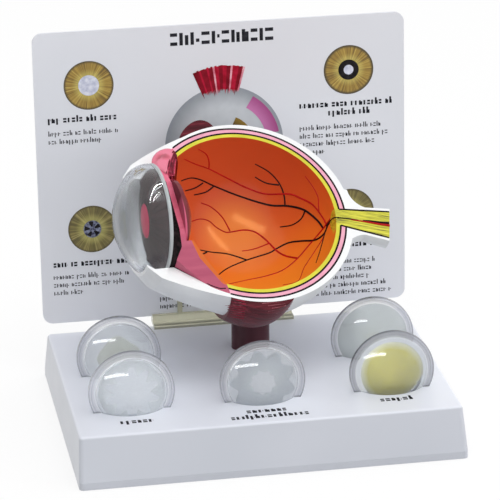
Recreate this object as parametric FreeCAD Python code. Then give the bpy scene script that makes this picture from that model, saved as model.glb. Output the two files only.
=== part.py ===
"""Desk model of the human eye: a cut-open eyeball on a post, a printed card in a clear holder,
and five clear display lenses standing in pockets of a hollow moulded base.

Millimetres.  +Z is up, +X points to the optic nerve side, -Y is the front of the base.
Every piece is built about the middle of the base's footprint.  The last step slides the whole
model along Y, so that the origin is the bottom centre of the overall size.
The eyeball is built in its own frame: +x runs back along the optical axis, +y runs away from the
cut face into the half that is kept, and +z is the eye's own up.
"""
import FreeCAD, Part
import math
import os

V = FreeCAD.Vector
Rot = FreeCAD.Rotation

# ---------------------------------------------------------------- base moulding
BASE_W = 165.1            # footprint, left to right
BASE_D = 127.0            # footprint, front to back
BASE_H = 21.3             # top face above the table
PLINTH_H = 3.2            # upright lip round the bottom
SIDE_INSET = 1.2          # how far each side wall leans in by the top
FRONT_INSET = 6.1
BACK_INSET = 5.8
BASE_CORNER_R = 2.0       # upright corners
BASE_EDGE_R = 1.4         # rounded rim of the top face
BASE_WALL = 2.6

# ---------------------------------------------------------------- display lenses and their pockets
LENS_R = 18.3             # outside of the thin rim flange
LENS_FLANGE_T = 1.6
LENS_DOME_R = 15.6        # foot of the bulging front
LENS_DOME_H = 8.0
LENS_SINK = 10.1          # how deep a lens stands in its pocket
LENS_FROM_SIDE = 26.65    # middle of an outer lens to the side of the base
FRONT_ROW_IN = 30.0       # flange front to the front of the base, front row
BACK_ROW_IN = 69.5        # the same, back row
SLOT_CLEAR = 0.3
CUP_WALL = 1.6
RECESS_R = 14.2           # hollow in a lens's flat back, which holds its insert
RECESS_T = 0.9
CORE_DOME_H = 5.4         # how far a full cloudy core bulges inside its lens
MATURE_R = 14.6
NUCLEAR_R = 12.2
SPOKE_COUNT = 10
SPOKE_OUT_R = 12.6
SPOKE_IN_R = 6.6
FILM_OUT_R = 11.2
FILM_SWELL = 1.6          # how far the film's ragged edge swings in and out
FILM_IN_R = 4.4
FILM_LOBES = 9
PATCH_R = 7.4
PATCH_SWELL = 0.7         # how far the patch's lobes swing in and out
INSERT_GAP = 0.05         # round an insert, and between it and the lens ahead of it

# ---------------------------------------------------------------- card and its holder
CARD_W = 165.1
CARD_H = 133.35
CARD_T = 1.5
CARD_CORNER_R = 4.5
CARD_LEAN = 2.5           # degrees back from upright
CARD_Y = 60.6             # middle of the card's bottom edge
CARD_CLEAR = 0.3          # to each leaf of the channel
HOLDER_W = 63.5
HOLDER_X = -1.9           # middle of the channel, a little to the left
HOLDER_FOOT_D = 9.6       # foot strip, front to back
HOLDER_FOOT_T = 1.6
HOLDER_FLOOR = 3.8        # channel floor above the base
HOLDER_LEAF = 1.4
FRONT_LEAF_H = 0.9        # above the channel floor
BACK_LEAF_H = 6.0
TAB_W = 2.2               # two narrow fingers that stand higher than the front leaf
TAB_H = 7.4
TAB_SPACING = 38.4

# ---------------------------------------------------------------- where the eyeball sits
EYE_X = 2.1
EYE_Y = 12.0
EYE_Z = 89.4
EYE_TILT = 53.0           # how far the cut face looks up, in degrees
EYE_TURN = 12.5           # how far it then turns towards the nerve side
EYE_ROLL = 4.1            # cornea raised in the plane of the cut

# ---------------------------------------------------------------- eyeball wall
GLOBE_R = 45.9
GLOBE_BACK = 1.1          # the outside's centre sits this far back, so the coat is thicker at the nerve
SCLERA_T = 2.1            # at the sides
CHOROID_T = 2.4
RETINA_T = 2.0
CONE_ANGLE = 24.8         # slope of the wall as it narrows to the cornea
CONE_BULGE = 0.8          # how far that wall swells from a straight cone
SHOULDER_X = 45.5         # ahead of the centre, where it turns in more steeply to the lip
LIP_REACH = 3.0           # lip ahead of the cornea's round skirt
LIP_T = 1.4               # wall left at the front lip
WALL_FRONT = 21.4         # front edge of the inner layers, ahead of the centre
WALL_SLANT = 5.2          # that edge leans forward at the top, in degrees
CONE_FOOT = 25.5          # ahead of the centre, where the inside turns from round to cone

# ---------------------------------------------------------------- optic nerve
NERVE_EXIT = 8.4          # below the optical axis, where it leaves the globe
NERVE_SLOPE = 16.1        # degrees down from the optical axis
NERVE_DEPTH = 2.5         # its centre line behind the cut face
NERVE_REACH = 62.0        # end of the stub behind the globe's centre
NERVE_R_IN = 4.2
NERVE_R_OUT = 7.3
NERVE_OVER = 4.0          # spare length at the inner end, cut off by the retina's curve
SHEATH_T = 1.5
SHEATH_ROOT = 1.4         # how much thicker the sheath is next to the globe
SHEATH_FLARE = 5.5

# ---------------------------------------------------------------- cornea, iris and lens
CORNEA_BACK = 41.2        # back of the clear ring ahead of the centre
CORNEA_R = 24.3
CORNEA_SKIRT = 6.2
CORNEA_SPHERE = 30.6
CORNEA_WALL = 2.4
CORNEA_FIT = 0.05
IRIS_GAP = 0.2
IRIS_EDGE_T = 1.2
IRIS_RISE = 3.7
PUPIL_R = 7.5
PUPIL_FIT = 0.1
PUPIL_SINK = 0.4
FURROW_COUNT = 36
FURROW_DEPTH = 0.3
FURROW_END = 1.0          # plain iris left at each end of a furrow
CHAMBER_R = 24.0          # black block behind the iris
CHAMBER_EDGE = 2.6
CHAMBER_BACK_R = 20.0
SHEET_FRONT = 35.7        # pink sheet behind it
SHEET_T = 2.3
EYE_LENS_R = 16.4
EYE_LENS_RIM_T = 1.7
EYE_LENS_DOME_R = 15.0
EYE_LENS_DOME_H = 5.1
SEAT_GAP = 0.3            # round the lens rim
SEAT_SIDE_GAP = 0.1       # on each face of the rim
SEAT_LIP_T = 0.7
SEAT_LIP_IN = 1.3
BRIDGE_RISE = 10.0        # how far the front pieces stand proud of the cut face
BRIDGE_HALF_TOP = 12.0
BRIDGE_HALF_FOOT = 34.0
CILIARY_HEEL_R = 17.6     # where the ciliary body's sloping back meets the lens groove's lip

# ---------------------------------------------------------------- eye muscles and stand
LOWER_FRONT = -18.0       # ends of the lower muscle along the optical axis
LOWER_BACK = 9.3
LOWER_T = 3.6
LOWER_SWEEP = 88.0        # degrees round the globe
LOWER_LEAN = 7.5          # how its front end leans back, away from the cut, in degrees
MUSCLE_SWELL = ((0, 0), (0.3, 0.85), (0.7, 1), (1, 0))    # share along a pad, and of its thickness
UPPER_FRONT = -21.0
UPPER_BACK = -3.8
UPPER_T = 4.8
UPPER_SWEEP = 50.0
POST_X = 5.2
POST_Y = 25.6
POST_W = 16.9
POST_D = 13.0
SPIGOT_R = 4.8
SPIGOT_H = 2.0
SPIGOT_FIT = 0.1
BOSS_R = 8.0
BOSS_BOTTOM = 8.0         # above the table
SCREW_R = 1.95
SCREW_HOLE_R = 2.2
SCREW_IN_POST = 11.0
SCREW_HEAD_R = 4.0
SCREW_HEAD_H = 2.6
DRIVE_W = 1.2
DRIVE_DEPTH = 1.2

# ---------------------------------------------------------------- worked out from the sizes above
SCLERA_IN = GLOBE_R - SCLERA_T
CHOROID_IN = SCLERA_IN - CHOROID_T
RETINA_IN = CHOROID_IN - RETINA_T
CORNEA_DOME_X = -CORNEA_BACK - CORNEA_SKIRT + math.sqrt(CORNEA_SPHERE ** 2 - CORNEA_R ** 2)
SHEET_BACK = SHEET_FRONT - SHEET_T
SEAT_R = EYE_LENS_R + SEAT_GAP
GROOVE_END = SHEET_BACK - EYE_LENS_RIM_T - 2 * SEAT_SIDE_GAP
LENS_CENTRE_Z = BASE_H + LENS_R - LENS_SINK
LENS_X = BASE_W / 2 - LENS_FROM_SIDE
FRONT_ROW_Y = FRONT_ROW_IN - BASE_D / 2
BACK_ROW_Y = BACK_ROW_IN - BASE_D / 2
CARD_Z = BASE_H + HOLDER_FLOOR
TOP_BACK_Y = BASE_D / 2 - BACK_INSET
LEAN = math.radians(CARD_LEAN)


# ================================================================ helpers
def box(x0, x1, y0, y1, z0, z1):
    return Part.makeBox(x1 - x0, y1 - y0, z1 - z0, V(x0, y0, z0))


def rounded_rect(width, depth, y_mid, z, radius):
    """A closed outline with round corners, flat at height z."""
    x, y = width / 2 - radius, depth / 2 - radius
    arcs = []
    for cx, cy, start in ((x, y, 0), (-x, y, 90), (-x, -y, 180), (x, -y, 270)):
        arcs.append(Part.makeCircle(radius, V(cx, y_mid + cy, z), V(0, 0, 1), start, start + 90))
    edges = []
    for arc, after in zip(arcs, arcs[1:] + arcs[:1]):
        edges.append(arc)
        edges.append(Part.makeLine(arc.Vertexes[-1].Point, after.Vertexes[0].Point))
    return Part.Wire(edges)


def arc3(a, b, c):
    return Part.Arc(a, b, c).toShape()


def xr(x, r):
    """A point of a meridian profile: x along the axis, r away from it."""
    return V(x, 0, r)


def spin(edges, sweep=360.0, start=0.0):
    """Turn a closed meridian profile about the x axis; a positive sweep goes from +z to +y."""
    face = Part.Face(Part.Wire(edges))
    solid = face.revolve(V(0, 0, 0), V(-1, 0, 0), sweep)
    solid.rotate(V(0, 0, 0), V(-1, 0, 0), start)
    return solid


def lines(points):
    """Straight edges from each point to the next."""
    return [Part.makeLine(a, b) for a, b in zip(points, points[1:])]


def loop(points):
    """Straight edges through the points and back to the first one."""
    return lines(points + points[:1])


def on_sphere(radius, x):
    """Height of a circle of this radius at a distance x from its centre."""
    return math.sqrt(max(radius ** 2 - x ** 2, 0.0))


def sphere_arc(radius, x0, x1, centre=0.0):
    """Meridian arc of a sphere on the x axis, between two places along it."""
    mid = (x0 + x1) / 2
    return arc3(*[xr(x, on_sphere(radius, x - centre)) for x in (x0, mid, x1)])


def place_eye(shape):
    """Carry a shape from the eyeball's frame to the stand's frame."""
    turn = Rot(V(0, 0, 1), EYE_TURN) * Rot(V(1, 0, 0), -EYE_TILT) * Rot(V(0, 1, 0), EYE_ROLL)
    placed = shape.copy()
    placed.Placement = FreeCAD.Placement(V(EYE_X, EYE_Y, EYE_Z), turn).multiply(placed.Placement)
    return placed


def kept_half():
    """The space behind the cut face."""
    reach = 2 * GLOBE_R
    return box(-reach, reach, 0, reach, -reach, reach)


def bridge_space():
    """The space behind the cut face, with the raised bridge that the front pieces fill."""
    reach = 2 * GLOBE_R
    outline = [V(-reach, 0, -reach), V(-reach, 0, -BRIDGE_HALF_FOOT),
               V(-reach, -BRIDGE_RISE, -BRIDGE_HALF_TOP), V(-reach, -BRIDGE_RISE, BRIDGE_HALF_TOP),
               V(-reach, 0, BRIDGE_HALF_FOOT), V(-reach, 0, reach),
               V(-reach, reach, reach), V(-reach, reach, -reach)]
    return Part.Face(Part.Wire(loop(outline))).extrude(V(2 * reach, 0, 0))


# ================================================================ display lenses
def lens_spots():
    """Name, x and y of each display lens."""
    return (("cortical", -LENS_X, FRONT_ROW_Y), ("capsular", 0.0, FRONT_ROW_Y),
            ("nuclear", LENS_X, FRONT_ROW_Y), ("subcapsular", -LENS_X, BACK_ROW_Y),
            ("mature", LENS_X, BACK_ROW_Y))


def lens_profile(grow=0.0):
    """Half outline of a display lens about the x axis: front at -x, flat back at +x."""
    dome_r = LENS_DOME_R + grow
    dome_h = LENS_DOME_H + grow
    ball = (dome_r ** 2 + dome_h ** 2) / (2 * dome_h)
    half_way = -dome_h / 2
    mid_r = on_sphere(ball, half_way - (ball - dome_h))
    rim_r = LENS_R + grow
    back = LENS_FLANGE_T + grow
    dome = arc3(xr(-dome_h, 0), xr(half_way, mid_r), xr(0, dome_r))
    path = [xr(-grow, dome_r), xr(-grow, rim_r), xr(back, rim_r), xr(back, 0), xr(-dome_h, 0)]
    if grow:
        path = [xr(0, dome_r)] + path
    return [dome] + lines(path)


def stand_lens(shape, x, y, lift=0.0):
    """Turn a lens built along x so that its front faces -Y, and stand it in its pocket."""
    placed = shape.copy()
    placed.rotate(V(0, 0, 0), V(0, 0, 1), 90)
    placed.translate(V(x, y, LENS_CENTRE_Z + lift))
    return placed


def pocket_shape(grow):
    """A lens grown on all sides.  Raised by the clearance, its lowest line is where the lens rests."""
    return spin(lens_profile(grow))


def core_shape(radius, grow=0.0):
    """A bulging core that fills the back of a lens."""
    r, h = radius + grow, CORE_DOME_H + grow
    ball = (r ** 2 + h ** 2) / (2 * h)
    front = LENS_FLANGE_T - h
    mid = front + h / 2
    dome = arc3(xr(front, 0), xr(mid, on_sphere(ball, mid - (front + ball))), xr(LENS_FLANGE_T, r))
    return spin([dome] + lines([xr(LENS_FLANGE_T, r), xr(LENS_FLANGE_T, 0), xr(front, 0)]))


def recess():
    """The shallow round hollow for a thin insert."""
    return Part.makeCylinder(RECESS_R, RECESS_T, V(LENS_FLANGE_T - RECESS_T, 0, 0), V(1, 0, 0))


def plate(outline, *holes):
    """A thin insert that fills the recess up to the lens's flat back."""
    face = Part.Face(outline)
    for hole in holes:
        face = face.cut(Part.Face(hole))
    return face.Faces[0].extrude(V(RECESS_T - INSERT_GAP, 0, 0))


def flat_point(r, angle):
    """A point on an insert's front, by radius and angle in radians."""
    return V(LENS_FLANGE_T - RECESS_T + INSERT_GAP, r * math.cos(angle), r * math.sin(angle))


def wavy_ring(r, swing, lobes, phase):
    """A closed soft-lobed outline on an insert's front."""
    steps = 4 * lobes
    points = []
    for i in range(steps):
        angle = 2 * math.pi * i / steps
        points.append(flat_point(r + swing * math.cos(lobes * angle + phase), angle))
    curve = Part.BSplineCurve()
    curve.interpolate(points, PeriodicFlag=True)
    return Part.Wire(curve.toShape())


def cortical_spokes():
    """A thin ring with wedges that point to the middle."""
    half_step = math.pi / SPOKE_COUNT
    points = []
    for i in range(SPOKE_COUNT):
        middle = 2 * i * half_step
        points.append(flat_point(SPOKE_OUT_R - 2.2, middle - 0.72 * half_step))
        points.append(flat_point(SPOKE_IN_R, middle))
        points.append(flat_point(SPOKE_OUT_R - 2.2, middle + 0.72 * half_step))
    inner = Part.Wire(loop(points))
    rim = Part.Wire(Part.makeCircle(SPOKE_OUT_R, flat_point(0, 0), V(1, 0, 0)))
    return plate(rim, inner)


def capsular_film():
    """A film with a ragged edge and a round clear middle."""
    outer = wavy_ring(FILM_OUT_R, FILM_SWELL, FILM_LOBES, 0.0)
    inner = wavy_ring(FILM_IN_R, FILM_SWELL / 4, FILM_LOBES, 0.8)
    return plate(outer, inner)


def subcapsular_patch():
    """A small clouded patch in the middle."""
    return plate(wavy_ring(PATCH_R, PATCH_SWELL, 4, 0.4))


def display_lens(kind):
    """A clear lens and the insert that shows its condition."""
    clear = spin(lens_profile())
    if kind == "mature":
        return clear.cut(core_shape(MATURE_R, INSERT_GAP)), core_shape(MATURE_R)
    if kind == "nuclear":
        return clear.cut(core_shape(NUCLEAR_R, INSERT_GAP)), core_shape(NUCLEAR_R)
    makers = {"cortical": cortical_spokes, "capsular": capsular_film, "subcapsular": subcapsular_patch}
    return clear.cut(recess()), makers[kind]()


# ================================================================ base
def base_block(shrink, top):
    """The solid outside of the base, or the hollow inside it when it is shrunk by the wall."""
    width = BASE_W - 2 * shrink
    depth = BASE_D - 2 * shrink
    corner = max(BASE_CORNER_R - shrink, 0.4)
    foot = rounded_rect(width, depth, 0, 0, corner)
    lip = rounded_rect(width, depth, 0, PLINTH_H, corner)
    top_y = (FRONT_INSET - BACK_INSET) / 2
    crown = rounded_rect(width - 2 * SIDE_INSET, depth - FRONT_INSET - BACK_INSET, top_y, top, corner)
    return Part.makeLoft([foot, lip, crown], True, True)


def round_top(block):
    """Round the rim of the top face."""
    rim = [e for e in block.Edges if all(abs(v.Z - BASE_H) < 1e-6 for v in e.Vertexes)]
    return block.makeFillet(BASE_EDGE_R, rim)


def base_shell():
    """A hollow moulding, open below, with a cup for each lens and a boss for the post's screw."""
    outside = round_top(base_block(0.0, BASE_H))
    inside = base_block(BASE_WALL, BASE_H - BASE_WALL)
    shell = outside.cut(inside)
    below_top = box(-BASE_W, BASE_W, -BASE_D, BASE_D, 0, BASE_H - BASE_WALL / 2)
    for _, x, y in lens_spots():
        cup = stand_lens(pocket_shape(SLOT_CLEAR + CUP_WALL), x, y, SLOT_CLEAR).common(below_top)
        shell = shell.fuse(cup)
    boss_top = BASE_H - BASE_WALL / 2
    boss = Part.makeCylinder(BOSS_R, boss_top - BOSS_BOTTOM, V(POST_X, POST_Y, BOSS_BOTTOM))
    shell = shell.fuse(boss)
    for _, x, y in lens_spots():
        shell = shell.cut(stand_lens(pocket_shape(SLOT_CLEAR), x, y, SLOT_CLEAR))
    spigot_hole = Part.makeCylinder(SPIGOT_R + SPIGOT_FIT, SPIGOT_H, V(POST_X, POST_Y, BASE_H - SPIGOT_H))
    screw_hole = Part.makeCylinder(SCREW_HOLE_R, BASE_H, V(POST_X, POST_Y, 0))
    return shell.cut(spigot_hole).cut(screw_hole).removeSplitter()


# ================================================================ card and holder
def card_point(x, across, along):
    """A point given across the card's thickness and along its height, from its bottom edge's middle."""
    y = CARD_Y + across * math.cos(LEAN) + along * math.sin(LEAN)
    z = CARD_Z - across * math.sin(LEAN) + along * math.cos(LEAN)
    return V(x, y, z)


def card_panel():
    """A plastic sheet with round corners, leaning back in the holder."""
    sheet = Part.Face(rounded_rect(CARD_W, CARD_H, CARD_H / 2, 0, CARD_CORNER_R)).extrude(V(0, 0, CARD_T))
    sheet.rotate(V(0, 0, 0), V(1, 0, 0), 90 - CARD_LEAN)
    sheet.translate(card_point(0, CARD_T / 2, 0))
    return sheet


def holder_strip(x_half, front_leaf):
    """The holder's section, run from -x_half to x_half."""
    gap = CARD_T / 2 + CARD_CLEAR
    outer = gap + HOLDER_LEAF
    foot_front = TOP_BACK_Y - HOLDER_FOOT_D / 2
    foot_top = BASE_H + HOLDER_FOOT_T
    foot_back = card_point(0, outer, -HOLDER_FLOOR).y
    lean_front = card_point(0, -outer, foot_top - CARD_Z).y
    outline = [V(0, foot_front, BASE_H), V(0, foot_front, foot_top), V(0, lean_front, foot_top),
               card_point(0, -outer, front_leaf), card_point(0, -gap, front_leaf),
               card_point(0, -gap, 0), card_point(0, gap, 0),
               card_point(0, gap, BACK_LEAF_H), card_point(0, outer, BACK_LEAF_H),
               V(0, foot_back, BASE_H)]
    strip = Part.Face(Part.Wire(loop(outline))).extrude(V(2 * x_half, 0, 0))
    strip.translate(V(-x_half, 0, 0))
    return strip


def card_holder():
    """A clear channel glued along the back of the base, with two taller fingers in front of the card."""
    holder = holder_strip(HOLDER_W / 2, FRONT_LEAF_H)
    for side in (-1, 1):
        tab = holder_strip(TAB_W / 2, TAB_H)
        tab.translate(V(side * TAB_SPACING / 2, 0, 0))
        holder = holder.fuse(tab)
    holder.translate(V(HOLDER_X, 0, 0))
    return holder.removeSplitter()


# ================================================================ eyeball wall
def cone_points():
    """Where the round back turns into the tapering front, half way along it, its shoulder and its lip."""
    slope = math.radians(CONE_ANGLE)
    start = xr(GLOBE_BACK - GLOBE_R * math.sin(slope), GLOBE_R * math.cos(slope))
    shoulder = xr(-SHOULDER_X, start.z - (start.x + SHOULDER_X) * math.tan(slope))
    middle = (start + shoulder) * 0.5 + xr(-math.sin(slope), math.cos(slope)) * CONE_BULGE
    lip_x = -CORNEA_BACK - CORNEA_SKIRT - LIP_REACH
    lip = xr(lip_x, on_sphere(CORNEA_SPHERE, lip_x - CORNEA_DOME_X) + CORNEA_FIT + LIP_T)
    return start, middle, shoulder, lip


def inner_cone():
    """The straight inner wall in front: its foot on the inner sphere and its end at the cornea's seat."""
    seat_x = -CORNEA_BACK + CHAMBER_EDGE
    return xr(-CONE_FOOT, on_sphere(SCLERA_IN, CONE_FOOT)), xr(seat_x, CORNEA_R + CORNEA_FIT)


def sclera_wall():
    """Half of the white outer coat, from the pole to the lip that holds the cornea."""
    start, middle, shoulder, lip = cone_points()
    foot, seat = inner_cone()
    seat_r = CORNEA_R + CORNEA_FIT
    ball = CORNEA_SPHERE + CORNEA_FIT
    dome_x = CORNEA_DOME_X - math.sqrt(ball ** 2 - seat_r ** 2)
    pole = xr(GLOBE_BACK + GLOBE_R, 0)
    edges = [sphere_arc(GLOBE_R, pole.x, start.x, GLOBE_BACK), arc3(start, middle, shoulder)]
    edges += lines([shoulder, lip, xr(lip.x, on_sphere(ball, lip.x - CORNEA_DOME_X))])
    edges.append(sphere_arc(ball, lip.x, dome_x, CORNEA_DOME_X))
    edges.append(Part.makeLine(xr(dome_x, seat_r), seat))
    edges.append(Part.makeLine(seat, foot))
    edges.append(sphere_arc(SCLERA_IN, foot.x, SCLERA_IN))
    edges.append(Part.makeLine(xr(SCLERA_IN, 0), pole))
    return spin(edges, 180)


def nerve_exit():
    """Where the nerve's centre line leaves the globe, along the optical axis."""
    return GLOBE_BACK + on_sphere(GLOBE_R, NERVE_EXIT)


def along_nerve(shape):
    """Carry a shape built along x, with x = 0 where the nerve leaves the globe, to the nerve's line."""
    placed = shape.copy()
    placed.rotate(V(0, 0, 0), V(0, 1, 0), NERVE_SLOPE)
    placed.translate(V(nerve_exit(), NERVE_DEPTH, -NERVE_EXIT))
    return placed


def nerve_length():
    return (NERVE_REACH - nerve_exit()) / math.cos(math.radians(NERVE_SLOPE))


def nerve_core():
    """The solid bundle of fibres, a slow cone that starts inside the cavity."""
    inside = GLOBE_BACK + GLOBE_R - RETINA_IN + NERVE_OVER
    length = nerve_length() + inside
    cone = Part.makeCone(NERVE_R_IN, NERVE_R_OUT, length, V(-inside, 0, 0), V(1, 0, 0))
    return along_nerve(cone)


def nerve_sheath():
    """The white sleeve round the nerve, flared where it runs into the globe."""
    length = nerve_length()
    inside = GLOBE_BACK + GLOBE_R - RETINA_IN
    sleeve_r = NERVE_R_IN + SHEATH_T + SHEATH_ROOT
    end_r = NERVE_R_OUT + SHEATH_T
    bell = xr(SHEATH_FLARE, sleeve_r + 0.5)
    bend = xr(0.25 * SHEATH_FLARE, sleeve_r + 0.4 * SHEATH_FLARE)
    root = xr(-0.5 * SHEATH_FLARE, sleeve_r + 1.5 * SHEATH_FLARE)
    path = [bell, xr(length, end_r), xr(length, 0), xr(-inside, 0), xr(-inside, root.z), root]
    return along_nerve(spin([arc3(root, bend, bell)] + lines(path)))


def sclera_shell():
    """The white coat with the nerve's sleeve in one piece."""
    sleeve = nerve_sheath().cut(Part.makeSphere(SCLERA_IN)).common(kept_half())
    return sclera_wall().fuse(sleeve).cut(nerve_core()).removeSplitter()


def behind_slant():
    """The space behind the slanted plane where the two inner coats end."""
    reach = 2 * GLOBE_R
    space = box(-WALL_FRONT, reach, -reach, reach, -reach, reach)
    space.rotate(V(0, 0, 0), V(0, 1, 0), -WALL_SLANT)
    return space


def inner_layer(outer, inner):
    """One of the two inner coats: a half shell that ends at the ciliary body."""
    front_inner = xr(-CONE_FOOT, on_sphere(inner, CONE_FOOT))
    front_outer = xr(-CONE_FOOT, on_sphere(outer, CONE_FOOT))
    edges = [sphere_arc(outer, -CONE_FOOT, outer), Part.makeLine(xr(outer, 0), xr(inner, 0)),
             sphere_arc(inner, inner, -CONE_FOOT), Part.makeLine(front_inner, front_outer)]
    return spin(edges, 180).common(behind_slant()).cut(nerve_core())


def optic_nerve():
    """The nerve stub; its inner end follows the retina as the optic disc."""
    return nerve_core().cut(Part.makeSphere(RETINA_IN)).common(kept_half())


# ================================================================ front of the eye
def cornea():
    """A clear dome on a short round skirt, hollow inside."""
    back = -CORNEA_BACK
    outer_x = back - CORNEA_SKIRT
    inner_r = CORNEA_R - CORNEA_WALL
    inner_ball = CORNEA_SPHERE - CORNEA_WALL
    inner_x = CORNEA_DOME_X - math.sqrt(inner_ball ** 2 - inner_r ** 2)
    apex = CORNEA_DOME_X - CORNEA_SPHERE
    inner_apex = CORNEA_DOME_X - inner_ball
    edges = lines([xr(inner_x, inner_r), xr(back, inner_r), xr(back, CORNEA_R), xr(outer_x, CORNEA_R)])
    edges.append(sphere_arc(CORNEA_SPHERE, outer_x, apex, CORNEA_DOME_X))
    edges.append(Part.makeLine(xr(apex, 0), xr(inner_apex, 0)))
    edges.append(sphere_arc(inner_ball, inner_apex, inner_x, CORNEA_DOME_X))
    return spin(edges)


def iris():
    """A shallow cone with a round pupil and fine radial furrows."""
    back = -CORNEA_BACK
    rim_r = CORNEA_R - CORNEA_WALL - IRIS_GAP
    front = back - IRIS_EDGE_T
    peak = front - IRIS_RISE
    disc = spin(loop([xr(back, PUPIL_R), xr(back, rim_r), xr(front, rim_r), xr(peak, PUPIL_R)]))
    rise = math.atan2(IRIS_RISE, rim_r - PUPIL_R)
    length = (rim_r - PUPIL_R - 2 * FURROW_END) / math.cos(rise)
    start_r = PUPIL_R + FURROW_END
    start_x = peak + FURROW_END * math.tan(rise) - FURROW_DEPTH
    along = xr(math.sin(rise), math.cos(rise))
    furrow = Part.makeCylinder(2 * FURROW_DEPTH, length, xr(start_x, start_r), along)
    furrows = []
    for i in range(FURROW_COUNT):
        copy = furrow.copy()
        copy.rotate(V(0, 0, 0), V(1, 0, 0), 360.0 * i / FURROW_COUNT)
        furrows.append(copy)
    return disc.cut(furrows)


def chamber_block():
    """The black block behind the iris, open in the middle, and cut like the pieces behind it."""
    front, back = -CORNEA_BACK, -SHEET_FRONT
    hole = PUPIL_R
    ring = loop([xr(front, hole), xr(front, CHAMBER_R), xr(front + CHAMBER_EDGE, CHAMBER_R),
                 xr(back, CHAMBER_BACK_R), xr(back, hole)])
    return spin(ring).common(bridge_space())


def lens_path():
    """The space that the lens sweeps as it is lifted out of its groove."""
    return box(-SHEET_BACK, 0, -2 * GLOBE_R, 0, -SEAT_R, SEAT_R)


def lens_groove():
    """The round groove for the lens's rim, and the opening in its lip behind it."""
    lip_r = SEAT_R - SEAT_LIP_IN
    lip_x = SEAT_LIP_T - GROOVE_END
    return spin(loop([xr(-SHEET_BACK, 0), xr(-SHEET_BACK, SEAT_R), xr(-GROOVE_END, SEAT_R),
                      xr(-GROOVE_END, lip_r), xr(lip_x, lip_r), xr(lip_x, 0)]))


def ciliary_funnel():
    """The hollow that opens from the groove's lip to the slanted edge of the retina."""
    heel = Part.Wire(Part.makeCircle(CILIARY_HEEL_R, V(SEAT_LIP_T - GROOVE_END, 0, 0), V(1, 0, 0)))
    edge_r = on_sphere(RETINA_IN, WALL_FRONT)
    edge = Part.Wire(Part.makeCircle(edge_r, V(-WALL_FRONT, 0, 0), V(1, 0, 0)))
    edge.rotate(V(0, 0, 0), V(0, 1, 0), -WALL_SLANT)
    return Part.makeLoft([heel, edge], True, True)


def ciliary_body():
    """The pink ring between sclera and lens, its thin front sheet and the boss that shows in the pupil."""
    boss_r = PUPIL_R - PUPIL_FIT
    boss_x = -CORNEA_BACK - IRIS_EDGE_T - IRIS_RISE + PUPIL_SINK
    foot, seat = inner_cone()
    back = -WALL_FRONT / 2
    outline = lines([xr(back, 0), xr(boss_x, 0), xr(boss_x, boss_r), xr(-SHEET_FRONT, boss_r),
                     xr(-SHEET_FRONT, CHAMBER_BACK_R), xr(-CORNEA_BACK + CHAMBER_EDGE, CHAMBER_R),
                     seat, foot])
    outline.append(sphere_arc(SCLERA_IN, foot.x, back))
    outline.append(Part.makeLine(xr(back, on_sphere(SCLERA_IN, back)), xr(back, 0)))
    plug = spin(outline).common(bridge_space()).cut(behind_slant())
    return plug.cut(ciliary_funnel()).cut(lens_groove()).cut(lens_path())


def eye_lens():
    """The eyeball's own lens: a thin rim and a dome that bulges back into the cavity."""
    front = -SHEET_BACK + SEAT_SIDE_GAP
    shoulder = front + EYE_LENS_RIM_T
    apex = shoulder + EYE_LENS_DOME_H
    ball = (EYE_LENS_DOME_R ** 2 + EYE_LENS_DOME_H ** 2) / (2 * EYE_LENS_DOME_H)
    mid = shoulder + EYE_LENS_DOME_H / 2
    dome = arc3(xr(shoulder, EYE_LENS_DOME_R), xr(mid, on_sphere(ball, mid - (apex - ball))), xr(apex, 0))
    path = [xr(apex, 0), xr(front, 0), xr(front, EYE_LENS_R), xr(shoulder, EYE_LENS_R)]
    path.append(xr(shoulder, EYE_LENS_DOME_R))
    return spin([dome] + lines(path))


# ================================================================ muscles and stand
def muscle(front, back, thick, sweep, start):
    """A pad that hugs the globe, swept round it from the cut face."""
    points = []
    for share, height in MUSCLE_SWELL:
        x = front + share * (back - front)
        points.append(xr(x, on_sphere(GLOBE_R, x - GLOBE_BACK) + height * thick))
    over = Part.BSplineCurve()
    over.interpolate(points)
    return spin([over.toShape(), sphere_arc(GLOBE_R, back, front, GLOBE_BACK)], sweep, start)


def upper_muscle():
    """The pad on top, trimmed where the white wall swells out from the round."""
    return muscle(UPPER_FRONT, UPPER_BACK, UPPER_T, UPPER_SWEEP, 0).cut(sclera_wall())


def behind_lower_front():
    """The space behind the lower muscle's leaning front end."""
    slope = math.tan(math.radians(LOWER_LEAN))
    reach = 2 * GLOBE_R
    outline = [V(LOWER_FRONT - slope, -1, -reach), V(reach, -1, -reach), V(reach, reach, -reach),
               V(LOWER_FRONT + slope * reach, reach, -reach)]
    return Part.Face(Part.Wire(loop(outline))).extrude(V(0, 0, 2 * reach))


def lower_muscle():
    """The pad under the globe; the post passes through it."""
    pad = muscle(LOWER_FRONT, LOWER_BACK, LOWER_T, LOWER_SWEEP, 180 - LOWER_SWEEP).cut(sclera_wall())
    return place_eye(pad.common(behind_lower_front())).cut(post_prism(0.0))


def post_prism(z0):
    """The post's oval section, run up past the globe's centre."""
    oval = Part.Ellipse(V(POST_X, POST_Y, z0), POST_W / 2, POST_D / 2).toShape()
    return Part.Face(Part.Wire(oval)).extrude(V(0, 0, EYE_Z - z0))


def stand_post():
    """An oval post with a spigot below and a top that is hollowed to carry the globe."""
    globe = place_eye(Part.makeSphere(GLOBE_R, V(GLOBE_BACK, 0, 0)))
    post = post_prism(BASE_H).cut(globe)
    lowest = min(post.Solids, key=lambda s: s.CenterOfMass.z)
    spigot = Part.makeCylinder(SPIGOT_R, SPIGOT_H, V(POST_X, POST_Y, BASE_H - SPIGOT_H))
    pilot = Part.makeCylinder(SCREW_R, SPIGOT_H + SCREW_IN_POST, V(POST_X, POST_Y, BASE_H - SPIGOT_H))
    return lowest.fuse(spigot).cut(pilot).removeSplitter()


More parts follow.
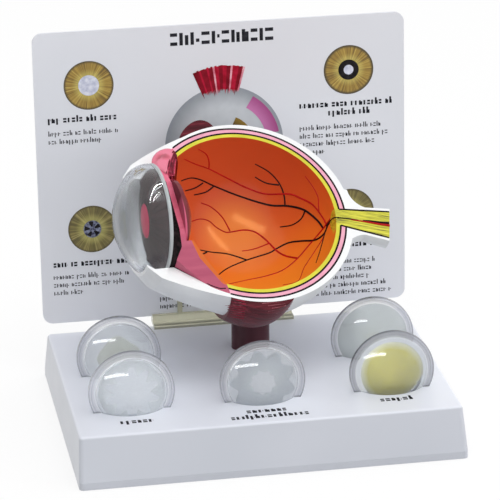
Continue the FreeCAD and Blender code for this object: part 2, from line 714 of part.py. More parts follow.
def post_screw():
    """A round-headed screw that pulls the post down on the base, with a cross slot in its head."""
    tip = BASE_H + SCREW_IN_POST
    shank = Part.makeCylinder(SCREW_R, tip - BOSS_BOTTOM, V(POST_X, POST_Y, BOSS_BOTTOM))
    head = Part.makeCylinder(SCREW_HEAD_R, SCREW_HEAD_H, V(POST_X, POST_Y, BOSS_BOTTOM - SCREW_HEAD_H))
    under = [e for e in head.Edges if abs(e.CenterOfMass.z - (BOSS_BOTTOM - SCREW_HEAD_H)) < 1e-6]
    head = head.makeFillet(SCREW_HEAD_H / 3, under)
    screw = head.fuse(shank)
    long = SCREW_HEAD_R * 0.6
    low = BOSS_BOTTOM - SCREW_HEAD_H
    for half_x, half_y in ((long, DRIVE_W / 2), (DRIVE_W / 2, long)):
        screw = screw.cut(box(POST_X - half_x, POST_X + half_x, POST_Y - half_y, POST_Y + half_y,
                              low, low + DRIVE_DEPTH))
    return screw


# ================================================================ the whole model
def build():
    """All pieces, by name, about the middle of the base."""
    pieces = {
        "base_shell": base_shell(),
        "stand_post": stand_post(),
        "post_screw": post_screw(),
        "card_holder": card_holder(),
        "card_panel": card_panel(),
        "sclera_shell": place_eye(sclera_shell()),
        "choroid_layer": place_eye(inner_layer(SCLERA_IN, CHOROID_IN)),
        "retina_cup": place_eye(inner_layer(CHOROID_IN, RETINA_IN)),
        "optic_nerve": place_eye(optic_nerve()),
        "cornea": place_eye(cornea()),
        "iris": place_eye(iris()),
        "chamber_block": place_eye(chamber_block()),
        "ciliary_body": place_eye(ciliary_body()),
        "eye_lens": place_eye(eye_lens()),
        "upper_muscle": place_eye(upper_muscle()),
        "lower_muscle": lower_muscle(),
    }
    inserts = {"cortical": "cortical_spokes", "capsular": "capsular_film", "nuclear": "nuclear_core",
               "subcapsular": "subcapsular_patch", "mature": "mature_core"}
    for kind, x, y in lens_spots():
        lens, insert = display_lens(kind)
        pieces[kind + "_lens"] = stand_lens(lens, x, y)
        pieces[inserts[kind]] = stand_lens(insert, x, y)
    return pieces


def main():
    pieces = build()
    low = min(p.BoundBox.YMin for p in pieces.values())
    high = max(p.BoundBox.YMax for p in pieces.values())
    shift = V(0, -(low + high) / 2, 0)
    os.makedirs("parts", exist_ok=True)
    for name, shape in pieces.items():
        shape.translate(shift)
        report = (name, len(shape.Solids), shape.Volume, shape.isValid())
        print("%-18s solids %d  volume %.1f  valid %s" % report)
        shape.exportStep("parts/" + name + ".step")
    print("slid along Y by %.3f mm" % shift.y)


main()
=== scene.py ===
# %% [markdown]
# # An eye anatomy model, dressed for its portrait
#
# The object is a desk model: a cut-open eyeball on a short post, a hollow white base with five
# clear display lenses standing in pockets, and a card that leans back in a clear channel.
# The construction comes in ready-made as a fixed frame.  This lesson adds what the frame can't
# hold: paint, clear plastic, print, vessels, and the streaks on the muscles.

# %% Load the frame
import bpy
import bmesh
import math
import random
from mathutils import Matrix, Vector
from mathutils.bvhtree import BVHTree


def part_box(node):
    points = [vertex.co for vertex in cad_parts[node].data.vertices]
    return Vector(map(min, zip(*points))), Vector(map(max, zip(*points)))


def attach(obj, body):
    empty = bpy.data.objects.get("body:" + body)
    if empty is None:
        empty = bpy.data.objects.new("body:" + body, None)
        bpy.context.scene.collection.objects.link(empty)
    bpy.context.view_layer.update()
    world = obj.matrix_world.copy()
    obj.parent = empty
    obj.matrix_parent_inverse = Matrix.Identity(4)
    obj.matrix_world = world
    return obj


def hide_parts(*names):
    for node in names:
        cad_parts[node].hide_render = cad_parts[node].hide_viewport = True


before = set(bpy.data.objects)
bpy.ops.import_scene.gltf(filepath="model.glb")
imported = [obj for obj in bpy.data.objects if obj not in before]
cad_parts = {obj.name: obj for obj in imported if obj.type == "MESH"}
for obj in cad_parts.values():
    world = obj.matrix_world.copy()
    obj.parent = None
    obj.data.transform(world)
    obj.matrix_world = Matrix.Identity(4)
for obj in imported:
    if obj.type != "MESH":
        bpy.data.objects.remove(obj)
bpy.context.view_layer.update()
bpy.context.scene.view_settings.view_transform = "Standard"

# %% [markdown]
# ## Sizes in millimetres
# The real object is measured in millimetres and Blender works in metres, so one factor does the
# change.  The eyeball is tilted and turned on its post.  It is far easier to draw on it in its own
# frame, so one small function turns "back along the axis, up, out of the cut" into a place in the
# scene.

# %% The eyeball's own frame
MM = 0.001
base_low, base_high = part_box("base_shell")
base_mid_y = (base_low.y + base_high.y) / 2
base_top = base_high.z
GLOBE_MID = Vector((2.1 * MM, base_mid_y + 12.0 * MM, 89.4 * MM))
TILT, TURN, ROLL = 53.0, 12.5, 4.1


def turning(degrees, axis):
    return Matrix.Rotation(math.radians(degrees), 3, axis)


EYE_TURN = turning(TURN, "Z") @ turning(-TILT, "X") @ turning(ROLL, "Y")
BACK = EYE_TURN @ Vector((1, 0, 0))
UP = EYE_TURN @ Vector((0, 0, 1))
OUT = EYE_TURN @ Vector((0, -1, 0))


def eye_point(back, up, out=0.0):
    """A place on the eyeball, in millimetres of its own frame, as a place in the scene."""
    return GLOBE_MID + (BACK * back + UP * up + OUT * out) * MM


print("the globe's middle is at", [round(c / MM, 1) for c in GLOBE_MID], "mm")

# %% [markdown]
# ## The camera
# The model is seen from the front, a little to the left and a little above.  A long lens from far
# away keeps the base's edges nearly parallel, so that the sizes can be judged by eye.

# %% Camera
CAMERA_TARGET = Vector((1.0 * MM, base_mid_y, 76.5 * MM))
CAMERA_AZIMUTH = -9.83
CAMERA_ELEVATION = 20.84
CAMERA_ROLL = -0.67
CAMERA_DISTANCE = 1337.3 * MM
FOCAL_PIXELS = 3129.35
IMAGE_PIXELS = 500
SENSOR = 36.0

azimuth, elevation = math.radians(CAMERA_AZIMUTH), math.radians(CAMERA_ELEVATION)
camera_back = Vector((math.sin(azimuth) * math.cos(elevation), -math.cos(azimuth) * math.cos(elevation),
                      math.sin(elevation)))
camera_right = (-camera_back).cross(Vector((0, 0, 1))).normalized()
camera_up = camera_right.cross(-camera_back)
roll = math.radians(CAMERA_ROLL)
view_right = math.cos(roll) * camera_right + math.sin(roll) * camera_up
view_up = math.cos(roll) * camera_up - math.sin(roll) * camera_right
camera_place = CAMERA_TARGET + camera_back * CAMERA_DISTANCE

camera_data = bpy.data.cameras.new("camera")
camera_data.sensor_width = SENSOR
camera_data.lens = FOCAL_PIXELS / IMAGE_PIXELS * SENSOR
camera_data.clip_start = 0.05
camera_data.clip_end = 20.0
camera = bpy.data.objects.new("camera", camera_data)
bpy.context.scene.collection.objects.link(camera)
camera_axes = Matrix((view_right, view_up, camera_back)).transposed()
camera.matrix_world = Matrix.Translation(camera_place) @ camera_axes.to_4x4()
bpy.context.scene.camera = camera


def seen_at(column, row):
    """The direction from the camera through a place in its 500 x 500 view."""
    half = IMAGE_PIXELS / 2
    across = (column - half) / FOCAL_PIXELS
    upward = (half - row) / FOCAL_PIXELS
    return (view_right * across + view_up * upward - camera_back).normalized()


print("camera lens", round(camera_data.lens, 1), "mm")

# %% [markdown]
# ## Colours
# Paint is mixed on a screen, but a shader counts light in linear numbers.  `paint` takes
# screen values from 0 to 255 and gives the linear ones.

# %% Screen colours
def paint(red, green, blue):
    def linear(level):
        level /= 255
        return level / 12.92 if level < 0.04045 else ((level + 0.055) / 1.055) ** 2.4
    return (linear(red), linear(green), linear(blue))


print("a middle grey is", [round(level, 3) for level in paint(128, 128, 128)])

# %% [markdown]
# ## A material under construction
# Every finish below is built from a few shader nodes and one main shader.  A NodeTree makes the
# material, adds nodes with their settings and joins sockets.  The main shader's fixed values come
# by the names of its sockets, with _ for a space.  `slide` lets such a value change over the piece.

# %% Node tree
class NodeTree:
    """A material under construction: its nodes and its main shader."""

    def __init__(self, name, **values):
        self.material = bpy.data.materials.new(name)
        self.material.use_nodes = True
        self.nodes = self.material.node_tree.nodes
        self.links = self.material.node_tree.links
        self.shader = self.nodes["Principled BSDF"]
        for socket, value in values.items():
            self.shader.inputs[socket.replace("_", " ")].default_value = value

    def add(self, kind, **settings):
        node = self.nodes.new("ShaderNode" + kind)
        for name, value in settings.items():
            setattr(node, name, value)
        return node

    def join(self, out_socket, in_socket):
        self.links.new(out_socket, in_socket)

    def colour(self, socket):
        self.join(socket, self.shader.inputs["Base Color"])

    def slide(self, value, low, high, socket):
        """Let one of the shader's sockets run from low to high as the value runs from 0 to 1."""
        node = self.add("MapRange")
        node.inputs["To Min"].default_value = low
        node.inputs["To Max"].default_value = high
        self.join(value, node.inputs["Value"])
        self.join(node.outputs["Result"], self.shader.inputs[socket])


print("a node tree can", ", ".join(name for name in vars(NodeTree) if name[0] != "_"))

# %% [markdown]
# ## Places and distances
# One piece often has two paints, and distances in the model's frame tell where one ends and the
# next begins.  Each of these gives a socket that carries a number, a place or a direction, worked
# out anew at every point of the piece.

# %% Measuring in a shader
class Measures(NodeTree):
    """Places, distances and directions in the model's frame, in metres."""

    def place(self):
        """Where a point lies in the model's frame."""
        return self.add("TexCoord").outputs["Object"]

    def vector(self, operation, first, second=(0, 0, 0), out="Vector"):
        """Reckon with a place or a direction, and a second one that is fixed."""
        node = self.add("VectorMath", operation=operation)
        self.join(first, node.inputs[0])
        node.inputs[1].default_value = second
        return node.outputs[out]

    def maths(self, operation, first, second=None):
        node = self.add("Math", operation=operation)
        for value, socket in ((first, node.inputs[0]), (second, node.inputs[1])):
            if isinstance(value, (int, float)):
                socket.default_value = value
            elif value is not None:
                self.join(value, socket)
        return node.outputs[0]

    def along(self, direction, origin):
        """How far a point lies along a direction from an origin, in metres."""
        return self.vector("DOT_PRODUCT", self.vector("SUBTRACT", self.place(), origin), direction, "Value")

    def away(self, origin):
        """Distance from a place, in metres."""
        return self.vector("DISTANCE", self.place(), origin, "Value")

    def from_axis(self, axis, origin):
        """Distance from a line, in metres."""
        along, away = self.along(axis, origin), self.away(origin)
        squares = [self.maths("MULTIPLY", value, value) for value in (away, along)]
        return self.maths("SQRT", self.maths("SUBTRACT", *squares))

    def in_axes(self, first, second, third, origin):
        """The point's place measured along three directions from an origin."""
        joined = self.add("CombineXYZ")
        for direction, socket in zip((first, second, third), joined.inputs):
            self.join(self.along(direction, origin), socket)
        return joined.outputs["Vector"]

    def facing(self, direction):
        """How squarely a face looks in a direction: 1 straight along it, 0 at right angles to it."""
        normal = self.add("NewGeometry").outputs["True Normal"]
        return self.vector("DOT_PRODUCT", normal, direction, "Value")

    def span(self, value, start, end):
        """0 where the value is at start, 1 where it is at end, and smooth between them."""
        node = self.add("MapRange", interpolation_type="SMOOTHSTEP")
        node.inputs["From Min"].default_value = start
        node.inputs["From Max"].default_value = end
        self.join(value, node.inputs["Value"])
        return node.outputs["Result"]


print("it can measure", ", ".join(name for name in vars(Measures) if name[0] != "_"))

# %% [markdown]
# ## Noise and colours
# No real surface is quite even.  Noise gives the unevenness, a ramp turns it into colours, and the
# same noise can move the roughness and the bumps, so that a stain that is darker is also duller.

# %% Recipe
class Recipe(Measures):
    """A finish that is mixed from noise, colours and measured places."""

    def noise(self, scale, detail=3.0, stretch=(1, 1, 1), place=None, rough=0.5):
        """Cloudy noise with about this many blobs to the metre, stretched if asked."""
        mapping = self.add("Mapping")
        mapping.inputs["Scale"].default_value = stretch
        self.join(place or self.place(), mapping.inputs["Vector"])
        noise = self.add("TexNoise")
        noise.inputs["Scale"].default_value = scale
        noise.inputs["Detail"].default_value = detail
        noise.inputs["Roughness"].default_value = rough
        self.join(mapping.outputs["Vector"], noise.inputs["Vector"])
        return noise.outputs["Fac"]

    def rays(self, place, scale, keep=(1, 1, 1), shift=(0, 0, 0), **settings):
        """Noise that changes round a middle, but not with the distance from it."""
        unit = self.vector("NORMALIZE", self.vector("MULTIPLY", place, keep))
        return self.noise(scale, place=self.vector("ADD", unit, shift), **settings)

    def ramp(self, value, *stops):
        """Colours at positions from 0 to 1; the value picks between them."""
        ramp = self.add("ValToRGB")
        elements = ramp.color_ramp.elements
        while len(elements) < len(stops):
            elements.new(0.5)
        for element, (position, colour) in zip(elements, stops):
            element.position = position
            element.color = (*colour, 1.0)
        self.join(value, ramp.inputs["Fac"])
        return ramp.outputs["Color"]

    def tones(self, value, first, second, start=0.3, end=0.7):
        """A ramp between two screen colours."""
        return self.ramp(value, (start, paint(*first)), (end, paint(*second)))

    def mix(self, factor, first, second, how="MIX"):
        """Blend two colours by a factor; a colour may be a socket or plain numbers."""
        mix = self.add("Mix", data_type="RGBA", blend_type=how)
        if isinstance(factor, float):
            mix.inputs["Factor"].default_value = factor
        else:
            self.join(factor, mix.inputs["Factor"])
        # A Mix node has sockets for numbers, vectors and colours; these are the ones for colours.
        for colour, socket in ((first, mix.inputs[6]), (second, mix.inputs[7])):
            if isinstance(colour, tuple):
                socket.default_value = (*colour, 1.0)
            else:
                self.join(colour, socket)
        return mix.outputs[2]

    def gloss(self, value, low, high):
        """Let roughness wander between two levels."""
        self.slide(value, low, high, "Roughness")

    def bump(self, height, strength, depth_mm):
        bump = self.add("Bump")
        bump.inputs["Strength"].default_value = strength
        bump.inputs["Distance"].default_value = depth_mm * MM
        self.join(height, bump.inputs["Height"])
        self.join(bump.outputs["Normal"], self.shader.inputs["Normal"])

    def finish_with(self, factor, other):
        """Blend the main shader with another one by a factor, and make that the surface."""
        blend = self.add("MixShader")
        self.join(factor, blend.inputs["Fac"])
        self.join(self.shader.outputs["BSDF"], blend.inputs[1])
        self.join(other, blend.inputs[2])
        self.join(blend.outputs["Shader"], self.nodes["Material Output"].inputs["Surface"])

    def let_lamps_through(self, tint):
        """Clear plastic casts hardly any shadow: rays that look for a lamp meet a faint tint."""
        film = self.add("BsdfTransparent")
        film.inputs["Color"].default_value = (*tint, 1.0)
        self.finish_with(self.add("LightPath").outputs["Is Shadow Ray"], film.outputs["BSDF"])


print("a recipe can", ", ".join(name for name in vars(Recipe) if name[0] != "_"))

# %% [markdown]
# ## Giving a finish to a piece
# `wear` puts one material on a piece, and `dress` does so for pieces of the frame, by name.  Thin
# strokes and print need little more than a colour that wanders a bit: `mottled` mixes such a paint.

# %% Dressing helpers
def wear(piece, recipe):
    """Give a piece one finish all over."""
    piece.data.materials.clear()
    piece.data.materials.append(recipe.material)


def dress(recipe, *nodes):
    """Give pieces of the frame a finish."""
    for name in nodes:
        wear(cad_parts[name], recipe)


def mottled(name, first, second, scale, detail=3.0, stretch=(1, 1, 1), start=0.3, end=0.7, **values):
    """A plain paint whose colour wanders between two screen colours."""
    recipe = Recipe(name, **values)
    blush = recipe.noise(scale, detail=detail, stretch=stretch)
    recipe.colour(recipe.tones(blush, first, second, start, end))
    return recipe


print("the frame has", len(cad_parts), "pieces to dress")

# %% [markdown]
# ## Lamps
# A wide softbox hangs above and in front, with a weaker one on the right.  These two are kept out
# of mirror reflections.  The glints come from long thin strips that are only seen in shiny
# surfaces: one runs from the left round to the front and leaves the short white streaks on the
# display lenses, two warm ones leave the streaks in the eyeball's varnish, and two high ones draw
# the arcs on the big dome.  A studio holds black flags between a lamp and what it shouldn't touch;
# `flag` does the same with light linking.

# %% Lamps
MODEL_MIDDLE = (0, 0, 0.08)
GLINT_AIM = (0, 0, 0.06)
WARM = (1.0, 0.62, 0.25)


def lamp(name, place, aim, size, power, long_way=(1, 0, 0), glint=False):
    """A rectangular lamp that faces a place, its long side turned towards a direction."""
    data = bpy.data.lights.new(name, "AREA")
    data.shape = "RECTANGLE"
    data.size, data.size_y = size
    data.energy = power
    thing = bpy.data.objects.new(name, data)
    bpy.context.scene.collection.objects.link(thing)
    facing = (Vector(place) - Vector(aim)).normalized()
    side = facing.cross(Vector(long_way)).normalized()
    turn = Matrix((side.cross(facing), side, facing)).transposed()
    thing.matrix_world = Matrix.Translation(place) @ turn.to_4x4()
    thing.visible_glossy = glint
    thing.visible_diffuse = not glint
    return thing


def flag(light, state, *pieces):
    """Let a lamp shine only on some pieces (INCLUDE) or on all but these (EXCLUDE)."""
    group = bpy.data.collections.new(light.name + "_flag")
    light.light_linking.receiver_collection = group
    for piece in pieces:
        group.objects.link(piece)
    for entry in group.collection_objects:
        entry.light_linking.link_state = state


def strip(name, start, end, width, glow, tint=(1, 1, 1)):
    """A strip of light between two places, seen only in shiny surfaces."""
    way = Vector(end) - Vector(start)
    light = lamp(name, (Vector(start) + Vector(end)) / 2, GLINT_AIM, (way.length, width),
                 glow * math.pi * way.length * width, way, glint=True)
    light.data.color = tint
    return light


lamp("softbox_above", (0.0, -0.36, 1.25), MODEL_MIDDLE, (0.9, 0.5), 3.2)
lamp("fill_right", (1.1, -0.45, 0.35), MODEL_MIDDLE, (0.5, 0.5), 1.0)
strip_left = strip("strip_left", (-1.09, -0.29, 0.41), (-0.13, -0.90, 0.79), 0.13, 14)
strip_right = strip("strip_right", (0.72, -0.55, 0.55), (0.33, -0.30, 0.95), 0.10, 14, WARM)
strip_front = strip("strip_front", (-0.50, -0.60, 0.80), (0.18, -0.92, 0.50), 0.16, 12, WARM)
strip_high = strip("strip_high", (-0.75, -0.33, 0.84), (0.28, 0.17, 1.12), 0.06, 40)
strip_higher = strip("strip_higher", (-0.55, -0.46, 0.91), (0.13, -0.23, 1.13), 0.05, 20)
for warm_strip in (strip_right, strip_front):
    flag(warm_strip, "INCLUDE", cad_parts["retina_cup"])
print("two lamps and five glints")

# %% [markdown]
# ## World
# The world is white and fills the shadows.  For light that falls on matt surfaces it is weaker on
# the left, which models the round forms; the camera and mirror reflections still see it white.

# %% World
WORLD_FILL = 1.0
WORLD_LEFT = 0.45
LEFT_SPAN = (-0.9, 0.1)

world = bpy.data.worlds.new("studio")
world.use_nodes = True
bpy.context.scene.world = world
world_nodes, world_links = world.node_tree.nodes, world.node_tree.links
background = world_nodes["Background"]
background.inputs["Color"].default_value = (1, 1, 1, 1)
rays = world_nodes.new("ShaderNodeLightPath")
direction = world_nodes.new("ShaderNodeSeparateXYZ")
world_links.new(world_nodes.new("ShaderNodeTexCoord").outputs["Generated"], direction.inputs["Vector"])
fill = world_nodes.new("ShaderNodeMapRange")
for socket, value in zip(("From Min", "From Max", "To Min", "To Max"), (*LEFT_SPAN, WORLD_LEFT, WORLD_FILL)):
    fill.inputs[socket].default_value = value
world_links.new(direction.outputs["X"], fill.inputs["Value"])
strength = world_nodes.new("ShaderNodeMix")
strength.inputs["A"].default_value = 1.0
world_links.new(rays.outputs["Is Diffuse Ray"], strength.inputs["Factor"])
world_links.new(fill.outputs["Result"], strength.inputs["B"])
world_links.new(strength.outputs["Result"], background.inputs["Strength"])
print("world fill", WORLD_LEFT, "to", WORLD_FILL)

# %% [markdown]
# ## Floor
# The floor glows, so that it looks white to the camera, but a fifth of what it shows is real
# light, and the object's shadow stays on it.  Light that it throws back on the object comes from a
# duller colour, or the undersides would look lit from below.

# %% Floor
FLOOR_Z = -0.2 * MM
FLOOR_HALF = 3.0
FLOOR_BOUNCE = 0.6
FLOOR_GLOW = 0.8

floor_mesh = bpy.data.meshes.new("floor")
floor_corners = [(FLOOR_HALF * x, FLOOR_HALF * y, FLOOR_Z) for x, y in ((-1, -1), (1, -1), (1, 1), (-1, 1))]
floor_mesh.from_pydata(floor_corners, [], [(0, 1, 2, 3)])
floor = bpy.data.objects.new("floor", floor_mesh)
bpy.context.scene.collection.objects.link(floor)
floor_paint = Recipe("floor_paint", Roughness=0.9, Specular_IOR_Level=0.0)
to_lit = floor_paint.add("LightPath").outputs["Is Diffuse Ray"]
floor_paint.colour(floor_paint.mix(to_lit, (1.0, 1.0, 1.0), (FLOOR_BOUNCE, FLOOR_BOUNCE, FLOOR_BOUNCE)))
glow_share = floor_paint.maths("MULTIPLY", floor_paint.maths("SUBTRACT", 1.0, to_lit), FLOOR_GLOW)
floor_paint.finish_with(glow_share, floor_paint.add("Emission").outputs["Emission"])
wear(floor, floor_paint)
print("floor", 2 * FLOOR_HALF, "m wide")

# %% [markdown]
# ## White moulded base
# The base is a hollow moulding in glossy white plastic with a touch of blue.  Moulded plastic is
# never quite even: the colour drifts a little over the length of the piece and the skin carries a
# very fine ripple.  Two noises of different size do both.  The sides are painted a greyer white
# than the top, as painted shade, and a face that looks up is told from them by its normal.

# %% Base finish
base_white = Recipe("base_white", Coat_Weight=0.25, Coat_Roughness=0.12)
drift = base_white.noise(14, detail=2)
# Painted shade: the top gets a lighter white than the sides.
lit_top_white = base_white.tones(drift, (224, 227, 237), (231, 234, 243))
shaded_side_white = base_white.tones(drift, (196, 200, 209), (203, 206, 215))
looks_up = base_white.span(base_white.facing((0, 0, 1)), 0.3, 0.9)
base_white.colour(base_white.mix(looks_up, shaded_side_white, lit_top_white))
base_white.gloss(base_white.noise(90), 0.28, 0.42)
base_white.bump(base_white.noise(420, detail=2), 0.12, 0.05)
dress(base_white, "base_shell")
print("base finished")

# %% [markdown]
# ## The card's sheet and its clear channel
# The card is a plastic sheet with a satin face, slightly grey.  The channel that holds it is an
# extruded clear plastic that has gone a little yellow.  Clear plastic is a shader with
# transmission; a small share of plain scatter makes it milky, as thick mouldings are.

# %% Card sheet and holder
card_white = Recipe("card_white", Coat_Weight=0.15, Coat_Roughness=0.3)
drift = card_white.noise(9, detail=2)
card_white.colour(card_white.tones(drift, (223, 225, 232), (230, 231, 237)))
card_white.gloss(card_white.noise(160), 0.42, 0.55)
card_white.bump(card_white.noise(2600, detail=1), 0.05, 0.02)
dress(card_white, "card_panel")

holder_clear = Recipe("holder_clear", IOR=1.49, Transmission_Weight=0.55, Coat_Weight=0.3)
haze = holder_clear.noise(60, stretch=(0.1, 1, 1))
holder_clear.colour(holder_clear.tones(haze, (204, 202, 176), (222, 221, 200)))
holder_clear.gloss(haze, 0.10, 0.22)
holder_clear.let_lamps_through((0.80, 0.79, 0.70))
dress(holder_clear, "card_holder")
print("card and holder finished")

# %% [markdown]
# ## Maroon post and its screw
# The post is cast and dipped in a dark maroon paint that pools into soft streaks.  The screw is
# zinc-plated, with the faint turning marks of its head.

# %% Post and screw
post_maroon = Recipe("post_maroon", Coat_Weight=0.25, Coat_Roughness=0.15, Specular_IOR_Level=0.15)
streaks = post_maroon.noise(150, stretch=(1, 1, 0.15))
post_maroon.colour(post_maroon.tones(streaks, (58, 22, 32), (78, 36, 46)))
post_maroon.gloss(streaks, 0.25, 0.42)
post_maroon.bump(streaks, 0.3, 0.15)
dress(post_maroon, "stand_post")

screw_steel = Recipe("screw_steel", Metallic=1.0)
turning_marks = screw_steel.noise(900, stretch=(1, 1, 4))
screw_steel.colour(screw_steel.tones(turning_marks, (175, 177, 180), (205, 207, 208)))
screw_steel.gloss(turning_marks, 0.25, 0.45)
screw_steel.bump(turning_marks, 0.2, 0.03)
dress(screw_steel, "post_screw")
print("post and screw finished")

# %% [markdown]
# ## The white coat
# The outer coat is painted white where it was cut, and greyer outside, with the soft dabs that a
# broad brush leaves.  A point lies on the cut when it is level with the globe's middle, so the
# distance "out of the cut" tells the two paints apart.

# %% Sclera finish
CUT_BAND = -0.05 * MM


def on_the_cut(recipe):
    """1 on the cut face of the globe, 0 elsewhere."""
    return recipe.maths("GREATER_THAN", recipe.along(OUT, GLOBE_MID), CUT_BAND)


sclera_white = Recipe("sclera_white", Coat_Weight=0.25, Coat_Roughness=0.25)
dabs = sclera_white.noise(55, detail=4)
outside = sclera_white.tones(dabs, (212, 214, 217), (230, 232, 234))
sclera_white.colour(sclera_white.mix(on_the_cut(sclera_white), outside, paint(243, 244, 245)))
sclera_white.gloss(dabs, 0.35, 0.5)
sclera_white.bump(sclera_white.noise(240, detail=2), 0.15, 0.08)
dress(sclera_white, "sclera_shell")
print("white coat finished")

# %% [markdown]
# ## Pink middle coat
# The middle coat only shows as a pink band on the cut, dabbed on by hand.

# %% Choroid finish
choroid_pink = Recipe("choroid_pink", Roughness=0.4, Coat_Weight=0.2)
dabs = choroid_pink.noise(160)
choroid_pink.colour(choroid_pink.tones(dabs, (234, 156, 180), (244, 176, 198)))
choroid_pink.bump(dabs, 0.1, 0.05)
dress(choroid_pink, "choroid_layer")
print("middle coat finished")

# %% [markdown]
# ## The retina
# The inner coat is yellow on the cut.  Inside it is an orange glaze under a glossy varnish,
# painted brick at the top and bright orange at the bottom as painted shade, with a paler spot in
# the middle that is partly the paler paint of the macula and partly painted highlight.  At the
# optic disc the yellow runs on over the edge.

# %% Retina finish
DISC_AT = (38.6, -7.1, -2.0)
MACULA_AND_HIGHLIGHT_AT = (6.0, 12.0, -37.0)

retina_glaze = Recipe("retina_glaze", Coat_Weight=0.4, Coat_Roughness=0.14, Specular_IOR_Level=0.1)
wander = retina_glaze.maths("MULTIPLY", retina_glaze.noise(45), 14 * MM)
level = retina_glaze.maths("ADD", retina_glaze.along(UP, GLOBE_MID), wander)
# Painted shade: the glaze runs from brick at the top to bright orange at the bottom.
glaze_with_painted_light = retina_glaze.ramp(retina_glaze.span(level, 42 * MM, -30 * MM),
                           (0.0, paint(208, 88, 48)), (0.30, paint(222, 104, 46)),
                           (0.62, paint(242, 132, 42)), (1.0, paint(252, 160, 44)))
# A paler spot in the middle: partly the macula's paler paint, partly painted highlight.
from_macula_highlight = retina_glaze.away(eye_point(*MACULA_AND_HIGHLIGHT_AT))
spot = retina_glaze.maths("MULTIPLY", retina_glaze.span(from_macula_highlight, 22 * MM, 4 * MM), 0.55)
glaze_with_painted_light = retina_glaze.mix(spot, glaze_with_painted_light, paint(252, 166, 60))
yellow = retina_glaze.tones(retina_glaze.noise(130), (206, 202, 56), (224, 218, 68))
disc_edge = retina_glaze.maths("ADD", retina_glaze.away(eye_point(*DISC_AT)),
                               retina_glaze.maths("MULTIPLY", retina_glaze.noise(160), 5 * MM))
near_disc = retina_glaze.span(disc_edge, 8.5 * MM, 6.0 * MM)
in_yellow = retina_glaze.maths("MAXIMUM", near_disc, on_the_cut(retina_glaze))
retina_glaze.colour(retina_glaze.mix(in_yellow, glaze_with_painted_light, yellow))
retina_glaze.gloss(retina_glaze.noise(70), 0.4, 0.5)
retina_glaze.bump(retina_glaze.noise(60, detail=2), 0.10, 0.25)
dress(retina_glaze, "retina_cup")
print("retina finished")

# %% [markdown]
# ## Optic nerve
# The nerve is a bundle of fibres, painted yellow with thin olive lines along it and a few orange
# ones.  Its noise is squeezed along the nerve's own direction, so that every blob becomes a long
# streak.

# %% Nerve finish
NERVE_EXIT_BACK, NERVE_EXIT_UP = 46.2, -8.4
NERVE_SLOPE = math.radians(16.1)
nerve_axis = (BACK * math.cos(NERVE_SLOPE) - UP * math.sin(NERVE_SLOPE)).normalized()
nerve_side = (BACK * math.sin(NERVE_SLOPE) + UP * math.cos(NERVE_SLOPE)).normalized()
nerve_root = eye_point(NERVE_EXIT_BACK, NERVE_EXIT_UP)

nerve_yellow = Recipe("nerve_yellow", Coat_Weight=0.3, Coat_Roughness=0.2)
fibre_place = nerve_yellow.in_axes(nerve_axis, nerve_side, OUT, nerve_root)
fibres = nerve_yellow.noise(900, detail=4, stretch=(0.06, 1, 1), place=fibre_place, rough=0.7)
nerve_yellow.colour(nerve_yellow.ramp(fibres, (0.36, paint(92, 88, 18)), (0.44, paint(184, 180, 32)),
                                      (0.54, paint(214, 210, 44)), (0.66, paint(228, 224, 74)),
                                      (0.76, paint(206, 140, 36))))
nerve_yellow.gloss(fibres, 0.3, 0.5)
nerve_yellow.bump(fibres, 0.35, 0.15)
dress(nerve_yellow, "optic_nerve")
print("nerve finished")

# %% [markdown]
# ## The ciliary body
# The ciliary body is painted by hand: light pink on its upper edge, purple-pink on the wide
# triangle below, with fine ridges that run towards the lens.  Its foremost end is the dull red
# boss that shows through the pupil.  Its hollow back belongs to the cavity and has the cavity's
# orange, with the same painted shade, darker at the top and brighter at the bottom: a face that
# doesn't look out of the cut is told from one that does by its normal, and a bent line on the
# slope marks where the pink stops.

# %% Ciliary finish
PUPIL_END = (-43 * MM, -44 * MM)
GROOVE_BACK = -30.9 * MM
CAVITY_REACH = 40 * MM
PINK_CORNER = (-28.5, -23.8)
PINK_LEANS = (0.38, 0.80)
PINK_TOP = -12.6 * MM

ciliary_pink = Recipe("ciliary_pink", Coat_Roughness=0.2)
height = ciliary_pink.along(UP, GLOBE_MID)
back_along = ciliary_pink.along(BACK, GLOBE_MID)
ridges = ciliary_pink.noise(260, stretch=(0.15, 1, 1), place=ciliary_pink.in_axes(BACK, UP, OUT, GLOBE_MID))
light = ciliary_pink.tones(ridges, (230, 96, 128), (246, 126, 154))
purple = ciliary_pink.tones(ridges, (176, 78, 106), (194, 94, 120))
front_face = ciliary_pink.mix(ciliary_pink.span(height, -6 * MM, -20 * MM), light, purple)
in_pupil = ciliary_pink.span(back_along, *PUPIL_END)
front_face = ciliary_pink.mix(in_pupil, front_face, paint(206, 44, 88))
for socket in ("Coat Weight", "Specular IOR Level"):
    ciliary_pink.slide(in_pupil, 0.2, 0.0, socket)

faces_in = ciliary_pink.maths("LESS_THAN", ciliary_pink.facing(OUT), 0.75)
behind_groove = ciliary_pink.maths("GREATER_THAN", back_along, GROOVE_BACK)
hollow = ciliary_pink.maths("MULTIPLY", behind_groove, faces_in)
past_lines = [ciliary_pink.along(BACK + lean * UP, eye_point(*PINK_CORNER)) for lean in PINK_LEANS]
past_edge = ciliary_pink.maths("GREATER_THAN", ciliary_pink.maths("MINIMUM", *past_lines), 0.0)
beside = ciliary_pink.maths("MULTIPLY", past_edge, ciliary_pink.maths("LESS_THAN", height, PINK_TOP))
within = ciliary_pink.maths("LESS_THAN", ciliary_pink.away(GLOBE_MID), CAVITY_REACH)
hollow = ciliary_pink.maths("MULTIPLY", ciliary_pink.maths("MAXIMUM", hollow, beside), within)
